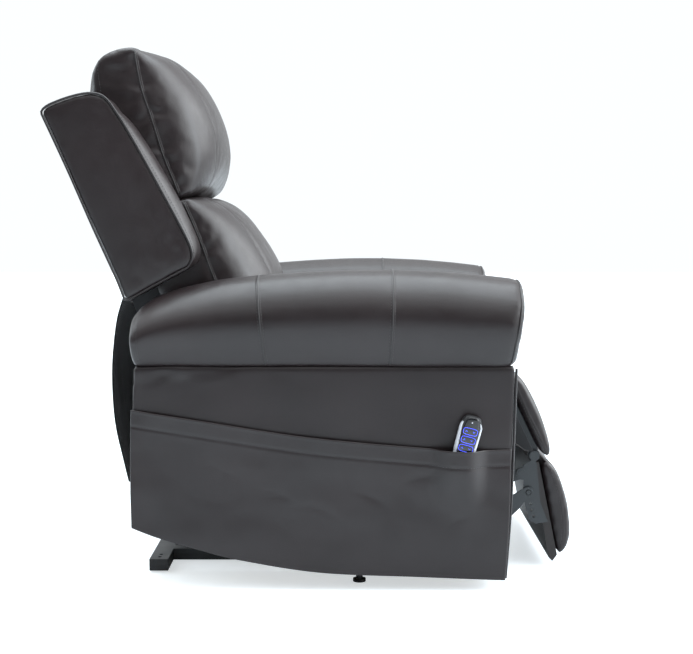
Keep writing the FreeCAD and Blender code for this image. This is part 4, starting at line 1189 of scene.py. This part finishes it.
def arm_panels():
    panel = rounded_slab("side_panel_right", PANEL_LOOP, -PANEL_OUT - 1, -PANEL_OUT + 9, 5)
    remesh(panel, 2)
    crease(panel, 1.5, 130, 61, (1, 0.7, 1))

    def below_seam(points):
        near_seam = np.clip(1 - (SEAM_Z - points[:, 2] / MM) / 45, 0, 1)
        return near_seam * np.clip(0.2 - forward_of(points) / 300, 0, 1)

    crease(panel, 3.0, 34, 62, (1, 0.5, 0.9), below_seam)
    soften(panel)
    leather_pair(panel, "side_panel_left", "chair", ["side_panels"])

    inner_loop = closed_outline([
        [(-330, 140), (-273, 120), (-60, 76), (60, 67), (428, 67)],
        [(428, 67), (436, SEAM_Z)], [(436, SEAM_Z), (-329, SEAM_Z)],
        [(-329, SEAM_Z), (-330, 140)]], (70, 40, 70, 30))
    inner = rounded_slab("inner_panel_right", inner_loop, -ARM_IN - 9, -ARM_IN + 0.5, 4)
    remesh(inner, 2)
    crease(inner, 1.0, 120, 64)
    shade_smooth(inner)
    leather_pair(inner, "inner_panel_left", "chair", ["arm_inner_panels"])

    front_loop = closed_outline([
        [(423, 22), (434, 188), (441, SEAM_Z)], [(441, SEAM_Z), (431, SEAM_Z)],
        [(431, SEAM_Z), (423, 188), (412, 22)], [(412, 22), (423, 22)]], (90, 4, 90, 4))
    front = rounded_slab("arm_front_right", front_loop, -PANEL_OUT + 9.5, -ARM_IN - 9.5, 4)
    remesh(front, 2)
    crease(front, 1.2, 110, 65)
    soften(front)
    leather_pair(front, "arm_front_left", "chair", ["arm_front_panels"])

    edge = smooth_curve([(425, 26), (435, 188), (442.5, SEAM_Z - 3)], 70)
    for side, name in ((-1, "right"), (1, "left")):
        corner = [at(side * (PANEL_OUT - 1.5), f, z) for f, z in edge]
        cord = tube("arm_corner_piping_" + name, corner, 2.6, 8)
        finish_piece(cord, "chair", PIPING)
        cord = tube("arm_inner_piping_" + name, [at(side * (ARM_IN + 6), f, z) for f, z in edge[16:]], 2.4, 8)
        finish_piece(cord, "chair", PIPING)


arm_panels()


POCKET_TOP = [(-335, 374), (-194, 352), (6, 321), (208, 301), (329, 293), (434, 293)]
HANDSET_F = 334.0
POCKET_DENTS = ((40, 172, -0.25, 46), (150, 196, -0.45, 38), (255, 238, 0.15, 30),
                (-40, 200, -0.2, 30), (330, 150, 0.5, 26))


def pocket_bulge(f, z, top):
    """How far the pocket stands off the panel."""
    drop = max(0.0, top - z)
    ends = min(1.0, (f + 336) / 60.0, (433 - f) / 60.0)
    slack = 5.0 * max(0.0, ends) * math.exp(-drop / 70.0)
    hump = 24.0 * math.exp(-((f - HANDSET_F + 8) / 44.0) ** 4) * math.exp(-(max(0.0, drop - 40) / 55.0) ** 2)
    ripple = noise.fractal(Vector((f * 0.012, z * 0.012, 7.7)), 1.0, 2.0, 2) * 1.6
    ripple += noise.fractal(Vector((f * 0.003 + z * 0.006, z * 0.006, 2.7)), 1.0, 2.0, 2) * 2.6
    for spot_f, spot_z, slope, size in POCKET_DENTS:
        along = (f - spot_f) + slope * (z - spot_z)
        across = (z - spot_z) - slope * (f - spot_f) + 0.004 * along * along
        ripple -= 0.9 * math.exp(-(along / size) ** 2) * math.exp(-(across / 9.0) ** 2)
    edge_fade = min(1.0, max(0.0, (z - 40) / 60.0))
    return slack + hump + max(-1.5, ripple) * edge_fade


def pockets():
    top_line = smooth_curve(POCKET_TOP, 155)
    bottom_line = smooth_curve([(-337, 131), (-310, 120), (-273, 107), (-198, 85),
                                (-117, 64), (46, 38), (250, 29),
                                (424, 22)], 155)
    rows = 84
    verts = []
    for thick in (3.4, 0.0):
        for (ft, zt), (fb, zb) in zip(top_line, bottom_line):
            for r in range(rows):
                t = r / (rows - 1)
                bow = 4 * math.sin(math.pi * t) * (1 if ft > 300 else -1 if ft < -250 else 0)
                f = fb + (ft - fb) * t + bow * abs(ft) / 434.0 * 0.6
                z = zb + (zt - zb) * t
                hem = 0.8 * math.exp(-((zt - z - 1.5) / 2.5) ** 2) * thick / 3.4
                line = -1.2 * math.exp(-((zt - z - 34) / 2.6) ** 2) * thick / 3.4
                x = PANEL_OUT + 1.6 + pocket_bulge(f, z, zt) + thick + hem + line
                verts.append(at(-x, f, z))
    pocket = soften(double_sheet("pocket_right", verts, len(top_line), rows))
    left = leather_pair(pocket, "pocket_left", "chair", ["side_pockets"])
    hem_line = [at(-PANEL_OUT - 8 - pocket_bulge(f, z, z + 34), f, z - 34) for f, z in top_line[2:-2]]
    stitches("pocket_stitches_right", pocket, [hem_line], (0.0,), "chair", THREAD)
    stitches("pocket_stitches_left", left, [across_chair(hem_line, -1)], (0.0,), "chair", THREAD)


pockets()


# ---- Footrest pads ----
PAD_POWER = 10.0
PAD_HALF = 248.0


def pad(name, side, centre, counts, body, stand_for, seed):
    thing = pillow(name, side, centre, PAD_HALF, power=PAD_POWER)
    remesh(thing, 3)
    start, end = sum(counts[:1]), sum(counts[:3])
    edge = [[at(s * (PAD_HALF - 0.5), f, z) for f, z in side[start:end]] for s in (-1, 1)]
    ring = ring_at(side, centre, PAD_HALF, PANEL_SEAM_X, PAD_POWER)
    panel = [[at(s * PANEL_SEAM_X, f, z) for f, z in ring[start:end]] for s in (-1, 1)]
    held = held_near(thing, edge + panel, 6)
    inflate(thing, 3.5, 4.0, held, growth=0.003)
    groove(thing, edge, 1.4, 3.0)
    groove(thing, panel, 1.2, 3.0)
    pucker(thing, edge, 1.4, 14, 20, seed)
    crease(thing, 1.0, 90, seed + 1)
    relax(thing, 1)
    soften(thing)
    finish_piece(thing, body, LEATHER, [stand_for])
    welt(name + "_seams", thing, edge + panel, SINGLE_WELT, body)
    stitches(name + "_stitches", thing, edge + panel, (3.6,), body, THREAD)


def calf_point(down, out):
    foot = np.array((430.0, 402.0))
    direction = np.array((77.0, -157.0)) / math.hypot(77, 157)
    normal = np.array((-direction[1], direction[0]))
    return tuple(foot + direction * down + normal * out)


CALF_COUNTS = (30, 10, 34, 8)
CALF_SIDE = closed_outline([
    [calf_point(172, 15), calf_point(0, 19)], [calf_point(0, 19), (451, 409), (463, 402)],
    [(463, 402), (491, 340), (517, 291), (539, 238)], [(539, 238), calf_point(172, 15)]], CALF_COUNTS)
CALF_CENTRE = closed_outline([
    [calf_point(172, 15), calf_point(-4, 19)], [calf_point(-4, 19), (456, 427), (467, 422)],
    [(467, 422), (482, 410), (501, 377), (518, 342), (533, 300), (542, 266), (543, 240)],
    [(543, 240), calf_point(172, 15)]], CALF_COUNTS)
OTTOMAN_COUNTS = (36, 8, 38, 8)
OTTOMAN_SIDE = closed_outline([
    [(561, 28), (521, 230)], [(521, 230), (530, 232), (538, 229)],
    [(538, 229), (556, 186), (567, 140), (572, 90), (569, 42)], [(569, 42), (561, 28)]], OTTOMAN_COUNTS)
OTTOMAN_CENTRE = closed_outline([
    [(562, 27), (521, 231)], [(521, 231), (531, 235), (540, 231)],
    [(540, 231), (557, 211), (573, 171), (583, 133), (589, 83), (585, 50), (574, 30)],
    [(574, 30), (562, 27)]], OTTOMAN_COUNTS)

pad("calf_pillow", CALF_SIDE, CALF_CENTRE, CALF_COUNTS, "calf_rest", "calf_cushion", 71)


GUSSET_SIDE = (252.6, 254.0)  # inner and outer face of a gusset


def gussets_and_painted_shade():
    """Black cloth closing the sides of the calf rest, with a light hem along its free edge. The black sheets
    are partly a real gusset and partly a painted shade for the dark gap between the arm panel and the calf
    pad.
    """
    for side, name in ((-1, "right"), (1, "left")):
        loop = closed_outline([
            [calf_point(5, 2), calf_point(165, 2)], [calf_point(165, 2), calf_point(150, -16)],
            [calf_point(150, -16), calf_point(110, -34), calf_point(60, -42), calf_point(16, -30)],
            [calf_point(16, -30), calf_point(5, 2)]], (40, 8, 40, 8))
        low, high = sorted(side * x for x in GUSSET_SIDE)
        # partly painted shade: the black sheet also darkens the gap where the lit far arm would show
        sheet = rounded_slab("calf_gusset_" + name, loop, low, high, 0.6)
        finish_piece(shade_smooth(sheet), "calf_rest", CLOTH)
        hem = smooth_list([at(side * GUSSET_SIDE[1], f, z) for f, z in loop[44:86]], 2)
        finish_piece(tube("calf_gusset_hem_" + name, hem, 1.3, 8), "calf_rest", PIPING)


gussets_and_painted_shade()
pad("ottoman_pillow", OTTOMAN_SIDE, OTTOMAN_CENTRE, OTTOMAN_COUNTS, "ottoman", "ottoman_cushion", 75)


# ---- Handset ----
LEAN = math.radians(15)
HAND_FOOT = np.array((321.0, 235.0))
HAND_UP = np.array((math.sin(LEAN), math.cos(LEAN)))
HAND_ACROSS = np.array((math.cos(LEAN), -math.sin(LEAN)))
HAND_LENGTH = 133.0
HAND_BACK = 422.0
HAND_FRONT = 444.0
TOP_KEY = 101.0              # the middle of the top key, up from the handset's foot
KEY_PITCH = 17.5


def hand(up, across, x):
    f, z = HAND_FOOT + HAND_UP * up + HAND_ACROSS * across
    return at(-x, f, z)


def squared_circle(count, power):
    """Points (up, across) of a unit circle that a power below 1 pushes toward a square."""
    points = []
    for k in range(count):
        a = 2 * math.pi * k / count
        c, s = math.cos(a), math.sin(a)
        points.append((math.copysign(abs(s) ** power, s), math.copysign(abs(c) ** power, c)))
    return points


def hand_half(up):
    """Half the handset's width at a height above its foot."""
    return 19.5 + 3.5 * min(1.0, up / 100.0)


def handset_loop(inset):
    """Closed outline of the handset as (up, across): narrow foot, wide arched top."""
    points = []
    for up, across in squared_circle(96, 0.42):
        height = HAND_LENGTH / 2 + up * (HAND_LENGTH / 2 - inset)
        half = hand_half(height) - inset
        height += (1 - across * across) * (2.5 if up > 0.2 else 0.0) - (2.5 if up > 0.2 else 0.0)
        points.append((height, across * half))
    return points


def handset():
    steps = ((0, 9), (1.5, 4), (5, 1), (10, 0), (15, 0.6), (18.5, 2.2), (20, 4.2))
    rings = [[hand(u, a, HAND_BACK + x) for u, a in handset_loop(inset)] for x, inset in steps]
    shell = shade_smooth(loft("handset_case", rings))
    finish_piece(shell, "handset", PLASTIC, ["handset_shell"])
    for sign, name, breadth in ((-1, "rear", 4.6), (1, "front", 3.4)):
        rail = []
        for t in np.linspace(0, 1, 40):
            up = 6 + t * (HAND_LENGTH - 15)
            half = hand_half(up) - 6.0 * max(0.0, t - 0.9) / 0.1
            taper = 0.35 + 0.65 * math.sin(math.pi * min(1.0, 0.12 + t * 0.80)) ** 0.6
            ring = []
            for k in range(14):
                a = 2 * math.pi * k / 14
                ring.append(hand(up, sign * (half - breadth + 0.8 + breadth * taper * math.cos(a)),
                                 HAND_BACK + 15.5 + 5.8 * taper * math.sin(a)))
            rail.append(ring)
        strip = shade_smooth(loft("handset_trim_" + name, rail))
        finish_piece(strip, "handset", SILVER)
    steps = ((-5, 3.5), (-1.2, 3.2), (-0.3, 4.0), (0, 5.5))
    face_rings = [[hand(u, a * 0.80 + 0.8, HAND_FRONT + x) for u, a in handset_loop(inset)]
                  for x, inset in steps]
    face = shade_smooth(loft("handset_panel", face_rings))
    finish_piece(face, "handset", GLOSS, ["handset_face"])
    turns = np.linspace(0, 2 * math.pi, 13)[:-1]
    lamp_ring = [[hand(119.0 + r * math.cos(a), r * math.sin(a), x) for a in turns]
                 for x, r in ((HAND_FRONT - 1, 1.5), (HAND_FRONT + 0.2, 1.4), (HAND_FRONT + 0.5, 0.8))]
    lamp = shade_smooth(loft("handset_lamp", lamp_ring))
    finish_piece(lamp, "handset", SILVER)


def rounded_box_loop(half_up, half_across):
    return [(half_up * up, half_across * across) for up, across in squared_circle(36, 0.5)]


def arrow(up, across, direction, x):
    """A small generic chevron."""
    verts = []
    for du, da in ((-1.5, -2.4), (1.3, 0.0), (-1.5, 2.4), (-2.7, 1.6), (-0.4, 0.0), (-2.7, -1.6)):
        for dx in (0.0, 0.35):
            verts.append(hand(up + du * direction, across + da, x + dx))
    faces = [(0, 2, 8, 10), (2, 4, 6, 8), (1, 11, 9, 3), (3, 9, 7, 5)]
    loop = [0, 2, 4, 6, 8, 10]
    for i, j in zip(loop, loop[1:] + loop[:1]):
        faces.append((i, i + 1, j + 1, j))
    return verts, faces


def keys():
    key_shift = 0.8
    for row in range(4):
        up0 = TOP_KEY - KEY_PITCH * row
        number = str(row + 1)
        body = "key_" + number
        rings = []
        for x, inset in ((-0.6, 0.3), (0.5, 0.0), (1.0, 0.5), (1.1, 1.4)):
            outline = rounded_box_loop(7.0 - inset, 14.8 - inset)
            rings.append([hand(up0 + u, a + key_shift, HAND_FRONT + x) for u, a in outline])
        cap = shade_smooth(loft("key_cap_" + number, rings))
        finish_piece(cap, body, GLOSS, ["key_row_" + number])
        ring = [hand(up0 + u, a + key_shift, HAND_FRONT + 1.4) for u, a in rounded_box_loop(6.7, 14.4)]
        light = tube("key_ring_" + number, ring, 0.45, 6, closed=True)
        finish_piece(light, body, GLOW)
        verts, faces = [], []
        for across, direction in ((-7.0, 1), (8.0, -1)):
            v, f = arrow(up0 + 0.5 * direction, across, direction, HAND_FRONT + 0.95)
            base = len(verts)
            verts += v
            faces += [tuple(i + base for i in face) for face in f]
        sign = make_object("key_arrows_" + number, verts, faces)
        finish_piece(sign, body, GLYPH)


handset()
keys()


# ---- Floor, light and camera ----
SIDE_GLOOM = 0.025       # how bright the studio is on the side that faces the camera
LAMP_COLOUR = (0.84, 0.94, 1.0)


def stage():
    mesh = bpy.data.meshes.new("floor")
    size = 14.0
    corners = [(-size, -size, 0), (size, -size, 0), (size, size, 0), (-size, size, 0)]
    mesh.from_pydata(corners, [], [(0, 1, 2, 3)])
    floor = bpy.data.objects.new("floor", mesh)
    bpy.context.scene.collection.objects.link(floor)
    s = Shader("pale_floor", Roughness=0.35)
    cloud = s.noise(1.5, 2.0)
    seen = s.node("ShaderNodeLightPath").outputs["Is Camera Ray"]
    s.set(Base_Color=s.mix(cloud, (0.66, 0.70, 0.73, 1), (0.68, 0.72, 0.75, 1)),
          Emission_Color=(0.93, 0.975, 1.0, 1),
          Emission_Strength=s.remap(seen, 0.0, 1.0, 0.03, 0.60))
    mesh.materials.append(s.material)

    world = bpy.data.worlds.new("studio")
    bpy.context.scene.world = world
    world.use_nodes = True
    tree = world.node_tree
    background = tree.nodes["Background"]
    path = tree.nodes.new("ShaderNodeLightPath")
    coords = tree.nodes.new("ShaderNodeTexCoord")
    split = tree.nodes.new("ShaderNodeSeparateXYZ")
    tree.links.new(coords.outputs["Generated"], split.inputs["Vector"])

    def ramp(axis, low, high, dark, bright):
        made = tree.nodes.new("ShaderNodeMapRange")
        for socket, number in (("From Min", low), ("From Max", high), ("To Min", dark), ("To Max", bright)):
            made.inputs[socket].default_value = number
        tree.links.new(split.outputs[axis], made.inputs["Value"])
        return made.outputs["Result"]

    def combined(operation, a, b):
        made = tree.nodes.new("ShaderNodeMath")
        made.operation = operation
        tree.links.new(a, made.inputs[0])
        tree.links.new(b, made.inputs[1])
        return made.outputs["Value"]

    sides = combined("MAXIMUM", ramp("X", -0.5, 0.6, SIDE_GLOOM, 0.80), ramp("Z", 0.40, 0.9, SIDE_GLOOM, 2.7))
    ahead = combined("MULTIPLY", ramp("Y", -0.45, -0.8, SIDE_GLOOM, 7.0), ramp("Z", 0.0, 0.4, 0.06, 1.0))
    strength = combined("MAXIMUM", sides, ahead)
    mix = tree.nodes.new("ShaderNodeMix")
    mix.data_type = "FLOAT"
    tree.links.new(path.outputs["Is Camera Ray"], mix.inputs[0])
    tree.links.new(strength, mix.inputs[2])
    mix.inputs[3].default_value = 1.06
    background.inputs["Color"].default_value = (0.93, 0.975, 1.0, 1)
    tree.links.new(mix.outputs[0], background.inputs["Strength"])

    def softbox(name, place, target, size, power):
        data = bpy.data.lights.new(name, "AREA")
        data.shape = "RECTANGLE"
        data.size, data.size_y = size
        data.energy = power
        data.color = LAMP_COLOUR
        lamp = bpy.data.objects.new(name, data)
        bpy.context.scene.collection.objects.link(lamp)
        lamp.location = place
        lamp.rotation_euler = (Vector(target) - Vector(place)).to_track_quat("-Z", "Y").to_euler()

    softbox("overhead", (-0.2, 0.0, 3.2), (0, 0, 0.6), (3.0, 2.4), 95)
    softbox("front_fill", (-0.5, -3.4, 1.7), (0, 0, 0.7), (1.6, 2.4), 42)
    softbox("rear_fill", (0.4, 3.4, 1.9), (0, 0, 0.6), (2.4, 2.0), 45)

    data = bpy.data.cameras.new("camera")
    data.sensor_width = 36.0
    data.lens = 65.66
    camera = bpy.data.objects.new("camera", data)
    bpy.context.scene.collection.objects.link(camera)
    camera.location = (-2.945, -0.0655, 0.7625)
    camera.rotation_euler = (math.radians(90 - 5.02), 0, math.radians(-90))
    bpy.context.scene.camera = camera
    bpy.context.scene.view_settings.view_transform = "Standard"
    bpy.context.scene.view_settings.look = "None"


stage()
